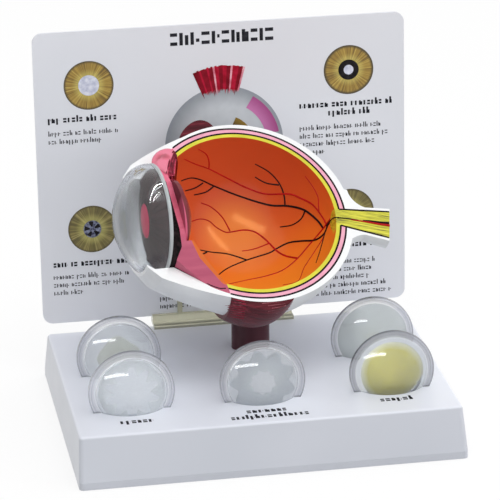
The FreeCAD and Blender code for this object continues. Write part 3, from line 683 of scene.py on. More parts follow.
# Painted shade: the cavity's orange is darker at the top and brighter at the bottom.
painted_shade_by_height = ciliary_pink.span(height, 30 * MM, -30 * MM)
orange = ciliary_pink.mix(painted_shade_by_height, paint(186, 70, 34), paint(236, 132, 32))
orange = ciliary_pink.mix(beside, orange, paint(218, 106, 38))
ciliary_pink.colour(ciliary_pink.mix(hollow, front_face, orange))
ciliary_pink.gloss(ridges, 0.3, 0.5)
ciliary_pink.bump(ridges, 0.3, 0.2)
dress(ciliary_pink, "ciliary_body")
print("ciliary body finished")

# %% [markdown]
# ## Black block and iris
# The block behind the iris is black with turned ribs.  The iris is a dark brown with fine rays,
# which come from noise that is read by direction from the eyeball's axis.

# %% Block and iris
chamber_black = Recipe("chamber_black", Roughness=0.6, Specular_IOR_Level=0.08)
ribs = chamber_black.noise(700, detail=2, stretch=(1, 0.12, 1),
                           place=chamber_black.in_axes(BACK, OUT, UP, GLOBE_MID))
chamber_black.colour(chamber_black.tones(ribs, (8, 5, 6), (40, 28, 30), 0.4, 0.62))
chamber_black.bump(ribs, 0.8, 0.4)
dress(chamber_black, "chamber_block")

iris_brown = Recipe("iris_brown", Specular_IOR_Level=0.0)
iris_rays = iris_brown.rays(iris_brown.in_axes(UP, OUT, BACK, GLOBE_MID), 14, keep=(1, 1, 0), rough=0.6)
iris_brown.colour(iris_brown.ramp(iris_rays, (0.3, paint(26, 13, 14)), (0.55, paint(50, 30, 32)),
                                  (0.8, paint(80, 54, 56))))
iris_brown.gloss(iris_rays, 0.7, 0.9)
dress(iris_brown, "iris")
print("block and iris finished")

# %% [markdown]
# ## Muscles
# The two muscle pads are dark maroon with paler strands along the pull of the muscle.  Strands are
# noise squeezed along the eye's axis, and its many levels of detail break their edges.

# %% Muscle finish
muscle_red = Recipe("muscle_red", Coat_Weight=0.1, Coat_Roughness=0.2, Specular_IOR_Level=0.1)
strand_place = muscle_red.in_axes(BACK, UP, OUT, GLOBE_MID)
strands = muscle_red.noise(520, detail=5, stretch=(0.10, 1, 1), place=strand_place, rough=0.65)
muscle_red.colour(muscle_red.ramp(strands, (0.38, paint(66, 18, 26)), (0.56, paint(92, 26, 38)),
                                  (0.66, paint(124, 44, 56)), (0.78, paint(176, 104, 112))))
muscle_red.gloss(strands, 0.25, 0.5)
muscle_red.bump(strands, 0.5, 0.35)
dress(muscle_red, "upper_muscle", "lower_muscle")
print("muscles finished")

# %% [markdown]
# ## Display lenses
# The display lenses are clear plastic.  A little plain scatter and a slightly grey tint keep them
# from looking like glass.  A moulded rim looks greyer than the dome, because one looks along more
# plastic there; that grey is painted shade, as are the thin dark line where the flange steps down
# and the dark outer edge, and a bright ring at the dome's foot is a painted highlight.  So each
# lens changes its tint with the distance from its own axis.

# %% Display lens finish
LENS_R = 18.3 * MM
LENS_AXIS = Vector((0, 1, 0))
RIM_STARTS = (0.84, 0.88)
RIM_CLEAR = 0.72
SHADED_RIMS = {"cortical_lens": (226, 0.82), "capsular_lens": (218, 0.82), "nuclear_lens": (202, 0.93),
        "subcapsular_lens": (216, 0.82), "mature_lens": (220, 0.86)}


def lens_middle(node):
    """The middle of a round display lens, which the pocket hides the lower part of."""
    low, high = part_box(node)
    return Vector(((low.x + high.x) / 2, (low.y + high.y) / 2, high.z - LENS_R))


for node, (grey, clear) in SHADED_RIMS.items():
    clear_plastic = Recipe(node + "_plastic", IOR=1.49, Specular_IOR_Level=0.35)
    haze = clear_plastic.noise(60)
    radius = clear_plastic.from_axis(LENS_AXIS, lens_middle(node))
    radius = clear_plastic.maths("DIVIDE", radius, LENS_R)
    shaded_flange = paint(grey, grey + 1, grey + 6)
    painted_step_shade = paint(grey - 34, grey - 32, grey - 26)
    painted_edge_shade = paint(grey - 52, grey - 50, grey - 42)
    # Painted shade and highlight: a greyer rim, a dark line at the step, a dark outer edge, and a bright ring
    # at the dome's foot.
    tint = clear_plastic.ramp(radius, (0.0, paint(230, 233, 235)), (0.82, paint(226, 229, 232)),
                              (0.85, paint(244, 245, 247)), (0.88, shaded_flange), (0.915, shaded_flange),
                              (0.93, painted_step_shade), (0.945, paint(grey + 2, grey + 3, grey + 8)),
                              (0.975, shaded_flange), (0.99, painted_edge_shade))
    shade = clear_plastic.ramp(haze, (0.3, (0.95, 0.95, 0.95)), (0.7, (1.0, 1.0, 1.0)))
    clear_plastic.colour(clear_plastic.mix(1.0, tint, shade, "MULTIPLY"))
    clear_plastic.slide(clear_plastic.span(radius, *RIM_STARTS), clear, RIM_CLEAR, "Transmission Weight")
    clear_plastic.gloss(haze, 0.05, 0.09)
    clear_plastic.let_lamps_through((0.86, 0.88, 0.88))
    dress(clear_plastic, node)
print(len(SHADED_RIMS), "display lenses finished")

# %% [markdown]
# ## Clear dome and tinted lens
# The big dome is milky in front, clear over the iris, and pale again at its back edge, so three
# zones along the eyeball's axis share one recipe.  The eyeball's own lens is tinted a deep
# purple-red, and pink on its foremost face.

# %% Dome and eye lens
DOME_MILKY = (-51 * MM, -58 * MM)
DOME_EDGE = (-42.5 * MM, -42.1 * MM)
LENS_FACE = (-33.2 * MM, -33.4 * MM)

cornea_clear = Recipe("cornea_clear", IOR=1.49, Specular_IOR_Level=0.05)
haze = cornea_clear.noise(160, detail=2, stretch=(1, 1, 0.1))
back_along = cornea_clear.along(BACK, GLOBE_MID)
at_back_edge = cornea_clear.span(back_along, *DOME_EDGE)
in_front = cornea_clear.span(back_along, *DOME_MILKY)
grey_tint = cornea_clear.tones(haze, (156, 160, 165), (170, 174, 178))
grey_tint = cornea_clear.mix(in_front, paint(236, 238, 240), grey_tint)
cornea_clear.colour(cornea_clear.mix(at_back_edge, grey_tint, paint(196, 201, 203)))
milk = cornea_clear.maths("MAXIMUM", at_back_edge, cornea_clear.maths("MULTIPLY", in_front, 0.4))
cornea_clear.slide(milk, 1.0, 0.25, "Transmission Weight")
cornea_clear.gloss(haze, 0.03, 0.06)
cornea_clear.let_lamps_through((0.9, 0.9, 0.9))
dress(cornea_clear, "cornea")

lens_purple = Recipe("lens_purple", IOR=1.49, Transmission_Weight=0.12, Specular_IOR_Level=0.1)
tint = lens_purple.noise(120, stretch=(1, 1, 0.3))
purple = lens_purple.tones(tint, (120, 52, 58), (148, 74, 80))
front_face = lens_purple.span(lens_purple.along(BACK + 0.07 * UP, GLOBE_MID), *LENS_FACE)
lens_purple.colour(lens_purple.mix(front_face, purple, paint(232, 110, 142)))
lens_purple.gloss(tint, 0.12, 0.25)
lens_purple.let_lamps_through((0.5, 0.3, 0.4))
dress(lens_purple, "eye_lens")
print("dome and eye lens finished")

# %% [markdown]
# ## Cloudy inserts
# Each display lens holds an insert that shows one condition: spokes, a grey lobed film, a yellow
# core, a small yellow-grey patch and an even cloud.  They are frosted plastics, so the shader
# passes some light.  The spokes and the core fade towards their edges, which is again a colour by
# distance from the lens's axis; the spokes also have pale rays.

# %% Insert finishes
INSERTS = {
    "cortical_spokes": ("cortical_lens", (232, 234, 237), (236, 238, 240), (230, 232, 235), 0.82),
    "capsular_film": ("capsular_lens", (212, 216, 220), (190, 195, 203), (190, 195, 203), 0.55),
    "nuclear_core": ("nuclear_lens", (214, 200, 62), (208, 196, 60), (226, 222, 184), 0.08),
    "subcapsular_patch": ("subcapsular_lens", (206, 207, 188), (212, 213, 200), (220, 222, 222), 0.7),
    "mature_core": ("mature_lens", (232, 235, 234), (232, 235, 234), (234, 237, 236), 0.25),
}
INSERT_REACH = 14.0 * MM

for node, (lens, inner, body, edge, clear) in INSERTS.items():
    middle = lens_middle(lens)
    frosted = Recipe(node + "_frost", Transmission_Weight=clear, IOR=1.45, Specular_IOR_Level=0.2)
    if node == "cortical_spokes":
        from_middle = frosted.vector("SUBTRACT", frosted.place(), middle)
        clouds = frosted.rays(from_middle, 4.0, keep=(1, 0, 1), detail=2)
    else:
        clouds = frosted.noise(170, detail=4)
    radius = frosted.from_axis(LENS_AXIS, middle)
    wander = frosted.maths("MULTIPLY", frosted.noise(90), 2 * MM)
    reach = frosted.maths("DIVIDE", frosted.maths("ADD", radius, wander), INSERT_REACH)
    zone = frosted.ramp(reach, (0.35, paint(*inner)), (0.60, paint(*body)), (0.78, paint(*body)),
                        (0.92, paint(*edge)))
    cloud = frosted.ramp(clouds, (0.38, (0.92, 0.92, 0.92)), (0.62, (1.0, 1.0, 1.0)))
    frosted.colour(frosted.mix(1.0, zone, cloud, "MULTIPLY"))
    frosted.gloss(clouds, 0.5, 0.7)
    frosted.bump(clouds, 0.1, 0.1)
    frosted.let_lamps_through((0.7, 0.7, 0.7))
    dress(frosted, node)
print(len(INSERTS), "inserts finished")

# %% [markdown]
# ## Pieces of our own
# Painted lines, vessels and print are thin pieces of their own.  `add_piece` makes one from points
# and faces and lets it ride on the body that carries it, so that it follows every motion.

# %% Adding a piece
def add_piece(name, points, faces, body, recipe):
    mesh = bpy.data.meshes.new(name)
    mesh.from_pydata([tuple(point) for point in points], [], faces)
    mesh.validate()
    mesh.update()
    piece = bpy.data.objects.new(name, mesh)
    bpy.context.scene.collection.objects.link(piece)
    wear(piece, recipe)
    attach(piece, body)
    return piece


def clean_up(piece, reach):
    """Join corners closer than this, and turn every face outward."""
    clean = bmesh.new()
    clean.from_mesh(piece.data)
    bmesh.ops.remove_doubles(clean, verts=clean.verts, dist=reach)
    bmesh.ops.dissolve_degenerate(clean, edges=clean.edges, dist=reach)
    bmesh.ops.recalc_face_normals(clean, faces=clean.faces)
    clean.to_mesh(piece.data)
    clean.free()


print("piece helpers ready")

# %% [markdown]
# ## The big dome
# The frame's dome meets its skirt in a crease, as a solid model does.  A moulded dome has a soft
# shoulder there, and a crease would break up every reflection, so a smooth one takes its place: an
# outline with two bends, outside and inside, turned round the eyeball's axis.

# %% Smooth dome
DOME_BACK, DOME_MIDDLE = -41.2, -28.8
DOME_SHELLS = ((24.3, 30.6), (21.9, 28.2))
SHOULDER = 4.0
DOME_STEPS = 40
DOME_TURNS = 128
SHARP_ANGLE = math.radians(40)


def turned(name, profile, turns, body, recipe):
    """A round piece on the eyeball's axis, turned from a closed outline of (back, radius)."""
    points, faces = [], []
    count = len(profile)
    for i in range(turns):
        angle = 2 * math.pi * i / turns
        for back, radius in profile:
            points.append(eye_point(back, radius * math.cos(angle), radius * math.sin(angle)))
    for i in range(turns):
        here, there = i * count, (i + 1) % turns * count
        for j in range(count):
            after = (j + 1) % count
            faces.append((here + j, here + after, there + after, there + j))
    piece = add_piece(name, points, faces, body, recipe)
    clean_up(piece, 1e-6)
    piece.data.shade_smooth()
    piece.data.set_sharp_from_angle(angle=SHARP_ANGLE)
    return piece


def bent(start, corner, end, steps=10):
    """Places on a smooth bend from start to end that leans towards a corner."""
    return [tuple((1 - t) ** 2 * a + 2 * t * (1 - t) * b + t * t * c for a, b, c in zip(start, corner, end))
            for t in (i / steps for i in range(1, steps))]


def dome_half(radius, ball):
    """One side of the dome's wall, from the back edge to the tip."""
    crease = DOME_MIDDLE - math.sqrt(ball ** 2 - radius ** 2)
    first = math.asin(radius / ball) - SHOULDER / ball
    angles = [first * (1 - i / DOME_STEPS) for i in range(DOME_STEPS + 1)]
    arc = [(DOME_MIDDLE - ball * math.cos(a), ball * math.sin(a)) for a in angles]
    start = (crease + SHOULDER, radius)
    return [(DOME_BACK, radius), start] + bent(start, (crease, radius), arc[0]) + arc


outside, inside = (dome_half(*shell) for shell in DOME_SHELLS)
dome = turned("cornea_dome", outside + inside[::-1], DOME_TURNS, "stand", cornea_clear)
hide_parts("cornea")
flag(strip_left, "EXCLUDE", dome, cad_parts["retina_cup"])
flag(strip_high, "INCLUDE", dome)
flag(strip_higher, "INCLUDE", dome)
print("smooth dome with", len(dome.data.polygons), "faces")

# %% [markdown]
# ## Where the view meets the model
# A painted stroke follows the surface under it.  `touch` looks through the camera's view at pieces
# of the frame and gives the place that is met, so that a route drawn in the view lands exactly on
# the surface, whatever its curve.

# %% Touching a surface
trees = {}


def surface_of(node):
    if node not in trees:
        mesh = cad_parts[node].data
        corners = [vertex.co.copy() for vertex in mesh.vertices]
        trees[node] = BVHTree.FromPolygons(corners, [tuple(face.vertices) for face in mesh.polygons])
    return trees[node]


def touch(column, row, *nodes):
    """Where the view through a column and row first meets one of the pieces, and the way out of it."""
    best = None
    for node in nodes:
        spot, normal, _, distance = surface_of(node).ray_cast(camera_place, seen_at(column, row))
        if spot is not None and (best is None or distance < best[2]):
            best = (spot, normal, distance)
    if best is None:
        raise ValueError("nothing there: %s at %.1f, %.1f" % (nodes, column, row))
    spot, normal, _ = best
    if normal.dot(seen_at(column, row)) > 0:
        normal = -normal
    return spot, normal


view_middle, _ = touch(IMAGE_PIXELS / 2, IMAGE_PIXELS / 2, "retina_cup")
print("the middle of the view lies at", [round(c / MM, 1) for c in view_middle], "mm")

# %% [markdown]
# ## Laying a brush stroke
# A route has few places, so it is first smoothed with a curve that passes through each of them.
# The stroke itself is a curve object with a round section, 1 mm thick times the width at each
# place.  It is sunk a little, so that only its back shows, as with thick paint.

# %% Stroke helpers
STROKE_SINK = 0.12


def smooth_route(route, step=2.0):
    """More places on a smooth curve through the given ones."""
    ends = [route[0]] + list(route) + [route[-1]]
    smooth = []
    for before, start, end, after in zip(ends, ends[1:], ends[2:], ends[3:]):
        count = max(1, round(math.dist(start, end) / step))
        for i in range(count):
            t = i / count
            smooth.append(tuple(
                0.5 * (2 * b + (c - a) * t + (2 * a - 5 * b + 4 * c - d) * t ** 2
                       + (3 * b - a - 3 * c + d) * t ** 3)
                for a, b, c, d in zip(before, start, end, after)))
    smooth.append(tuple(route[-1]))
    return smooth


def tube(name, places, start_width, end_width, body, recipe):
    """A thin round stroke through places in the scene, its width running evenly between two."""
    curve = bpy.data.curves.new(name, "CURVE")
    curve.dimensions = "3D"
    curve.bevel_depth = 0.5 * MM
    curve.bevel_resolution = 2
    curve.use_fill_caps = True
    spline = curve.splines.new("POLY")
    last = len(places) - 1
    spline.points.add(last)
    for i, (point, place) in enumerate(zip(spline.points, places)):
        point.co = (*place, 1.0)
        point.radius = start_width + (end_width - start_width) * i / last
    piece = bpy.data.objects.new(name, curve)
    bpy.context.scene.collection.objects.link(piece)
    wear(piece, recipe)
    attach(piece, body)
    return piece


def stroke(name, route, start_width, end_width, recipe, slot, *nodes, sink=STROKE_SINK):
    """A painted stroke, given by places in the view, laid on the pieces that the view meets."""
    places = []
    for column, row in smooth_route(route):
        spot, normal = touch(column, row, *nodes)
        places.append(spot - normal * sink * MM)
    return tube(name, places, start_width, end_width, "stand", recipe)


print("stroke helpers ready")

# %% [markdown]
# ## Vessels of the retina
# Red arteries and dark veins are painted on the inside of the globe.  They start thick at the
# optic disc and thin out as they branch.  Each is a route of places in the camera's view, from the
# disc or a fork outward, smoothed and dropped on to the retina.

# %% Vessels
ARTERY_WIDTH, VEIN_WIDTH = 0.98, 1.1
TIP_SHARE = 0.55
TWIG_SHARE = 0.75
TWIG_PLACES = 6
ARTERIES = {
    "artery_upper": [(326, 224), (323, 218), (313, 205), (300, 198), (289, 194), (266, 194), (247, 188),
                     (225, 177), (209, 169), (195, 164), (184, 159)],
    "artery_upper_twig": [(209, 168), (209, 161), (206, 154), (198, 149)],
    "artery_far": [(319, 211), (318.5, 205), (318, 197), (313, 187), (305, 176)],
    "artery_middle": [(297, 258), (286, 256), (277, 251), (266, 240), (255, 232), (244, 230), (231, 232),
                      (225, 232), (216, 227), (209, 221), (200, 219), (190, 222)],
    "artery_middle_twig": [(230, 231), (222, 217), (211, 207), (201, 203)],
    "artery_low_twig": [(270, 243), (254, 249), (242, 251)],
    "artery_lower": [(332, 217.5), (328, 222), (322, 230), (310, 244), (297, 259), (283, 270), (266, 276),
                     (247, 280), (229, 284)],
    "artery_lowest": [(327, 226), (323, 238), (313, 254), (304, 268), (298, 281), (283, 285)],
}
VEINS = {
    "vein_upper": [(323, 228), (317, 220), (304, 210), (288, 206), (269, 205), (239, 196), (214, 186),
                   (201, 180), (191, 178), (181, 181)],
    "vein_upper_twig": [(203, 183), (195, 188), (185, 191)],
    "vein_upper_fork": [(214, 186), (206, 192), (194, 195)],
    "vein_top": [(285, 205), (284, 195), (279, 183), (269, 172), (255, 164)],
    "vein_top_twig": [(279, 185), (266, 183), (255, 177)],
    "vein_hook": [(305, 211), (301, 219), (292, 225), (280, 227)],
    "vein_lower": [(332, 220), (328, 225), (324, 234), (315, 240), (301, 241), (288, 243), (276, 249),
                   (269, 253), (247, 260), (228, 268), (217, 276)],
    "vein_lower_fork": [(247, 260), (228, 254), (211, 252), (195, 249)],
    "vein_lower_twig": [(207, 252), (201, 255)],
    "vein_thin": [(325, 233), (320, 251), (316, 263)],
}
artery_red = mottled("artery_red", (168, 10, 16), (200, 26, 26), 300, Specular_IOR_Level=0.15, Roughness=0.45)
vein_dark = mottled("vein_dark", (12, 8, 12), (38, 22, 28), 300, Specular_IOR_Level=0.1, Roughness=0.45)

for routes, recipe, slot, thick in ((ARTERIES, artery_red, "muscle_red", ARTERY_WIDTH),
                                    (VEINS, vein_dark, "chamber_black", VEIN_WIDTH)):
    for name, route in routes.items():
        width = thick if len(route) > TWIG_PLACES else TWIG_SHARE * thick
        stroke(name, route, width, TIP_SHARE * thick, recipe, slot, "retina_cup")
print(len(ARTERIES) + len(VEINS), "vessels")

# %% [markdown]
# ## Black lines on the cut
# A fine brush has drawn a black line on each side of the pink coat and along both edges of the
# nerve, and a finer one under the pink triangle.  Their routes lie on the cut's plane.  The arcs
# start at the slanted front edge of the inner coats and end where the nerve's edge crosses them,
# which a short walk along the edge finds.

# %% Routes on the cut
SCLERA_IN = 43.8
CHOROID_IN = 41.4
NERVE_LENGTH = 16.4
NERVE_INSIDE = 11.6
NERVE_R_IN, NERVE_R_OUT = 4.2, 7.3
NERVE_DEPTH = 2.5
WALK_STEP = 0.05
SLANT = math.radians(5.2)
FRONT_EDGE = 21.4
SIDES = (("above", 1), ("below", -1))


def nerve_edge(side, travel):
    """A place on the nerve's upper (side 1) or lower (-1) edge, this far beyond the globe."""
    share = (travel + NERVE_INSIDE) / (NERVE_LENGTH + NERVE_INSIDE)
    radius = NERVE_R_IN + (NERVE_R_OUT - NERVE_R_IN) * share
    half = math.sqrt(radius ** 2 - NERVE_DEPTH ** 2) * side
    back = NERVE_EXIT_BACK + travel * math.cos(NERVE_SLOPE) + half * math.sin(NERVE_SLOPE)
    up = NERVE_EXIT_UP - travel * math.sin(NERVE_SLOPE) + half * math.cos(NERVE_SLOPE)
    return back, up


def nerve_crosses(side, radius):
    """How far along its edge the nerve comes out of a circle round the globe's middle."""
    travel = -NERVE_INSIDE
    while math.hypot(*nerve_edge(side, travel)) < radius:
        travel += WALK_STEP
    return travel


def front_angle(radius, side):
    """Where the slanted front edge of the inner coats meets a circle on the cut."""
    return side * (math.pi - math.acos(FRONT_EDGE / radius)) + SLANT


def arc_route(radius, start, end, steps=60):
    """Places on a circle on the cut, between two angles from the axis, in radians."""
    angles = [start + (end - start) * i / steps for i in range(steps + 1)]
    return [(radius * math.cos(a), radius * math.sin(a)) for a in angles]


print("the nerve crosses the white coat's edge", round(nerve_crosses(1, SCLERA_IN), 1), "mm from its exit")

# %% [markdown]
# ## Ribbons of paint
# On the cut the black lines are flat, so each is a thin ribbon: at every place of its route it has
# two corners to the left and two to the right, just under and just above the cut.

# %% Painted lines
LINE_WIDTH, FINE_WIDTH = 0.78, 0.5
LINE_LIFT = 0.06
LINE_END_GAP = 0.1
NERVE_STEPS = 12
PINK_FOOT = [(-39.0, -24.2), (-35.0, -27.4), (-30.9, -30.6), (-27.2, -33.6), (-24.2, -35.7), (-21.4, -37.0),
             (-19.2, -37.1)]
line_black = mottled("line_black", (10, 8, 10), (38, 26, 30), 400, Roughness=0.5, Specular_IOR_Level=0.1)


def painted_line(name, route, width=LINE_WIDTH):
    """A flat ribbon on the cut, through places given back along the axis and up."""
    points = []
    for i, (back, up) in enumerate(route):
        before, after = route[max(i - 1, 0)], route[min(i + 1, len(route) - 1)]
        run, rise = after[0] - before[0], after[1] - before[1]
        size = math.hypot(run, rise)
        side_back, side_up = -rise / size * width / 2, run / size * width / 2
        for out in (-LINE_LIFT, LINE_LIFT):
            points.append(eye_point(back + side_back, up + side_up, out))
            points.append(eye_point(back - side_back, up - side_up, out))
    faces = []
    for i in range(len(route) - 1):
        a, b = 4 * i, 4 * i + 4
        faces += [(a + 2, a + 3, b + 3, b + 2), (a + 1, a, b, b + 1),
                  (a, a + 2, b + 2, b), (a + 3, a + 1, b + 1, b + 3)]
    end = 4 * (len(route) - 1)
    faces += [(0, 1, 3, 2), (end + 2, end + 3, end + 1, end)]
    return add_piece(name, points, faces, "stand", line_black)


for name, radius in (("outer", SCLERA_IN), ("inner", CHOROID_IN)):
    for place, side in SIDES:
        back, up = nerve_edge(side, nerve_crosses(side, radius))
        route = arc_route(radius, front_angle(radius, side), math.atan2(up, back))
        painted_line("line_%s_%s" % (name, place), route)
for place, side in SIDES:
    start = nerve_crosses(side, CHOROID_IN)
    length = NERVE_LENGTH - LINE_END_GAP - start
    route = [nerve_edge(side, start + length * i / NERVE_STEPS) for i in range(NERVE_STEPS + 1)]
    painted_line("line_nerve_" + place, route)
painted_line("line_pink_foot", smooth_route(PINK_FOOT), FINE_WIDTH)
print("seven dark lines")

# %% [markdown]
# ## Vessels inside the nerve
# A dark vein and a red artery run down the middle of the nerve and come over the rim of the cup.
# They lie on the cut, so they are round strokes half sunk in the paint.  The piece of vein that
# comes over the rim leaves the cut, so it is laid by the view again.

# %% Nerve vessels
NERVE_VESSELS = {
    "nerve_vein_root": ([(39.3, -7.0), (42.1, -7.5), (45.2, -8.3), (48.5, -9.2)], 0.7, 0.5,
                        vein_dark, "chamber_black"),
    "nerve_vein": ([(50.5, -9.5), (53.6, -10.1), (57.5, -11.2), (61.9, -12.2)], 0.5, 1.3,
                   vein_dark, "chamber_black"),
    "nerve_artery": ([(45.2, -8.6), (50.0, -9.9), (54.0, -11.1), (58.0, -12.4), (61.9, -13.4)], 0.45, 1.2,
                     artery_red, "muscle_red"),
}
RIM_VEIN = [(339, 217.5), (334, 217.8), (330, 221), (326, 226)]

for name, (route, start_width, end_width, recipe, slot) in NERVE_VESSELS.items():
    places = [eye_point(back, up, 0.02) for back, up in smooth_route(route, 0.8)]
    tube(name, places, start_width, end_width, "stand", recipe)
stroke("rim_vein", RIM_VEIN, 0.7, 0.7, vein_dark, "chamber_black", "retina_cup", "optic_nerve")
print(len(NERVE_VESSELS) + 1, "nerve vessels")

# %% [markdown]
# ## The ciliary bulb, fan and folds
# Above the lens the ciliary body swells into a soft bulb with a hollow that is shown by painted
# shade, and beside it a flatter red fan is folded down towards the lens.  Both are domed pads:
# rings of points inside an outline are dropped on the pieces under them and lifted most in the
# middle.

# %% Domed pads
PAD_RINGS = 7
PAD_SINK, PAD_TOP = 0.12, 0.9


def domed_pad(name, outline, height, recipe, slot, *nodes):
    """A soft raised pad inside an outline of places in the view."""
    outline = smooth_route(outline + outline[:1])[:-1]
    middle = tuple(sum(values) / len(outline) for values in zip(*outline))
    points, faces = [], []
    count = len(outline)
    for ring in range(PAD_RINGS):
        share = 1 - ring / PAD_RINGS
        for place in outline:
            column, row = (m + (p - m) * share for m, p in zip(middle, place))
            spot, _ = touch(column, row, *nodes)
            points.append(spot + OUT * height * MM * (math.sqrt(1 - share ** 2) - PAD_SINK))
    spot, _ = touch(*middle, *nodes)
    points.append(spot + OUT * height * MM * PAD_TOP)
    for ring in range(PAD_RINGS - 1):
        for i in range(count):
            a, b = ring * count + i, ring * count + (i + 1) % count
            faces.append((a, b, b + count, a + count))
    inner = (PAD_RINGS - 1) * count
    for i in range(count):
        faces.append((inner + i, inner + (i + 1) % count, len(points) - 1))
    faces.append(tuple(range(count))[::-1])
    pad = add_piece(name, points, faces, "stand", recipe)
    for face in pad.data.polygons:
        face.use_smooth = len(face.vertices) < 5
    return pad


print("a pad has", PAD_RINGS, "rings")

# %% [markdown]
# ## Pinks and folds of the bulb
# The bulb's pink is painted darker towards its hollow, as painted shade, by the distance from a
# place that `touch` finds.  The folds are dark red strokes that stand a little off the fan.

# %% Bulb, fan and folds
BULB_OUTLINE = [(151, 164), (152, 158), (156, 152.5), (161, 149.5), (167, 148), (172.5, 149), (175, 152.5),
                (173, 158), (169.5, 163), (168, 169), (167.5, 175), (162, 172), (156, 168)]
FAN_OUTLINE = [(171.5, 154), (174.5, 152.5), (176.2, 155.5), (175.8, 166), (174.6, 179.5), (171.6, 180.5),
               (168, 175.5), (165.6, 170.5), (168, 163)]
FOLDS = [[(173.5, 152), (170, 158), (168.5, 165), (167.3, 170), (166.2, 174)],
         [(174.5, 153), (172, 160), (170.5, 167), (169.9, 173), (170.6, 178)],
         [(175.4, 155), (174, 162), (173, 170), (173.2, 176), (173.8, 180)],
         [(176.2, 156), (176.2, 164), (175.5, 172), (174.8, 180)],
         [(171.5, 155), (168.8, 160), (168.4, 163)], [(172.2, 164), (171.8, 170), (172, 175)]]
SHADED_HOLLOW_AT = (163.0, 158.5)
BULB_HEIGHT, FAN_HEIGHT = 1.6, 0.7
FOLD_WIDTHS = (0.75, 0.45)
FOLD_LIFT = 0.5
UNDER_BULB = ("ciliary_body", "sclera_shell")
UNDER_FOLDS = (*UNDER_BULB, "retina_cup", "choroid_layer")

# Painted shade: the bulb darkens towards this place, where the hollow lies.
shaded_hollow_place, _ = touch(*SHADED_HOLLOW_AT, *UNDER_BULB)
bulb_pink = Recipe("bulb_pink", Coat_Weight=0.35, Coat_Roughness=0.2)
from_shaded_hollow = bulb_pink.maths("ADD", bulb_pink.away(shaded_hollow_place),
                              bulb_pink.maths("MULTIPLY", bulb_pink.noise(260), 2.5 * MM))
bulb_pink.colour(bulb_pink.ramp(bulb_pink.span(from_shaded_hollow, 1.8 * MM, 5.2 * MM), (0.0, paint(176, 62, 84)),
                                (0.5, paint(208, 88, 110)), (1.0, paint(236, 124, 150))))
bulb_pink.gloss(bulb_pink.noise(300), 0.3, 0.5)
bulb_pink.bump(bulb_pink.noise(180), 0.3, 0.3)
domed_pad("ciliary_bulb", BULB_OUTLINE, BULB_HEIGHT, bulb_pink, "ciliary_pink", *UNDER_BULB)

fold_red = mottled("fold_red", (96, 8, 30), (134, 20, 48), 500, Roughness=0.4, Specular_IOR_Level=0.2)
fan_red = mottled("fan_red", (150, 28, 58), (202, 70, 100), 700, stretch=(1, 1, 0.25), start=0.35, end=0.65,
                  Roughness=0.4, Specular_IOR_Level=0.2)
domed_pad("ciliary_fan", FAN_OUTLINE, FAN_HEIGHT, fan_red, "muscle_red", *UNDER_FOLDS, "eye_lens")
for number, route in enumerate(FOLDS):
    stroke("ciliary_fold_%d" % number, route, *FOLD_WIDTHS, fold_red, "muscle_red", *UNDER_FOLDS,
           sink=-FOLD_LIFT)
print("bulb, fan and", len(FOLDS), "folds")

# %% [markdown]
# ## Loose strands of the lower muscle
# At both ends the lower muscle frays.  On the left, strands stick out over the white coat, and on
# both sides pale strands are painted highlights where strands catch the light.  Each is a short
# stroke that thins towards its tip.

# %% Muscle strands
FRAYED = [[(245, 301.5), (239, 300.5), (232.5, 299.3)], [(246, 304.3), (239, 303.5), (231.5, 301.8)],
          [(246, 307.4), (238, 306.8), (225, 305.5)], [(246, 309.4), (238, 309), (226.8, 307.3)],
          [(245, 311.4), (237, 311), (227.4, 309.4)], [(245, 313.8), (238, 313.3), (229, 311.9)],
          [(244, 316), (237, 315.6), (227.5, 313.8)], [(244, 318.4), (238, 317.8), (229, 316.2)]]
# Painted highlight: the pale strands stand for strands that catch the light.
HIGHLIGHT_STRANDS = [[(262, 303.5), (276, 302.3), (292, 300.7)], [(268, 305.8), (280, 304.3), (293.2, 302.3)],
           [(272, 308.2), (282, 306.6), (292.8, 304.2)], [(268, 311.6), (280, 309.5), (291.5, 306.6)],
           [(276, 313.6), (284, 311.4), (290.3, 309)], [(241, 302.8), (235, 302), (229.5, 300.9)],
           [(243, 305.8), (236, 305.1), (227.8, 303.9)], [(242, 312.6), (236, 312.2), (229.5, 311)]]

strand_red = mottled("strand_red", (104, 14, 36), (152, 30, 56), 600, Roughness=0.4, Specular_IOR_Level=0.2)
strand_highlight_pale = mottled("strand_highlight_pale", (150, 70, 82), (196, 118, 128), 600, Roughness=0.4,
                      Specular_IOR_Level=0.2)
for kind, routes, start_width, end_width, recipe in (("frayed", FRAYED, 0.95, 0.35, strand_red),
                                                     ("highlight", HIGHLIGHT_STRANDS, 0.34, 0.2, strand_highlight_pale)):
    for number, route in enumerate(routes):
        stroke("strand_%s_%d" % (kind, number), route, start_width, end_width, recipe, "muscle_red",
               "lower_muscle", "sclera_shell")
print(len(FRAYED) + len(HIGHLIGHT_STRANDS), "strands")

# %% [markdown]
# ## Print on the card and the base
# Print is ink with almost no thickness.  The words are greeked: rows of small stems and bars that
# read as text from a distance and say nothing.  All marks of one passage are one piece.

# %% Places on the card and the base
CARD_LEAN = math.radians(2.5)
CARD_T = 1.5
CARD_FOOT_Y = 60.6
CARD_FOOT_Z = 3.8
INK_LIFT = 0.05
INK_SINK = 0.03
card_up = Vector((0, math.sin(CARD_LEAN), math.cos(CARD_LEAN)))
card_out = Vector((0, -math.cos(CARD_LEAN), math.sin(CARD_LEAN)))
card_foot = Vector((0, base_mid_y + CARD_FOOT_Y * MM, base_top + CARD_FOOT_Z * MM))


def card_spot(across, up, out):
    """A place on the card's face: across from its middle, up from its foot, out of its face."""
    return card_foot + Vector((across * MM, 0, 0)) + card_up * up * MM + card_out * (CARD_T / 2 + out) * MM


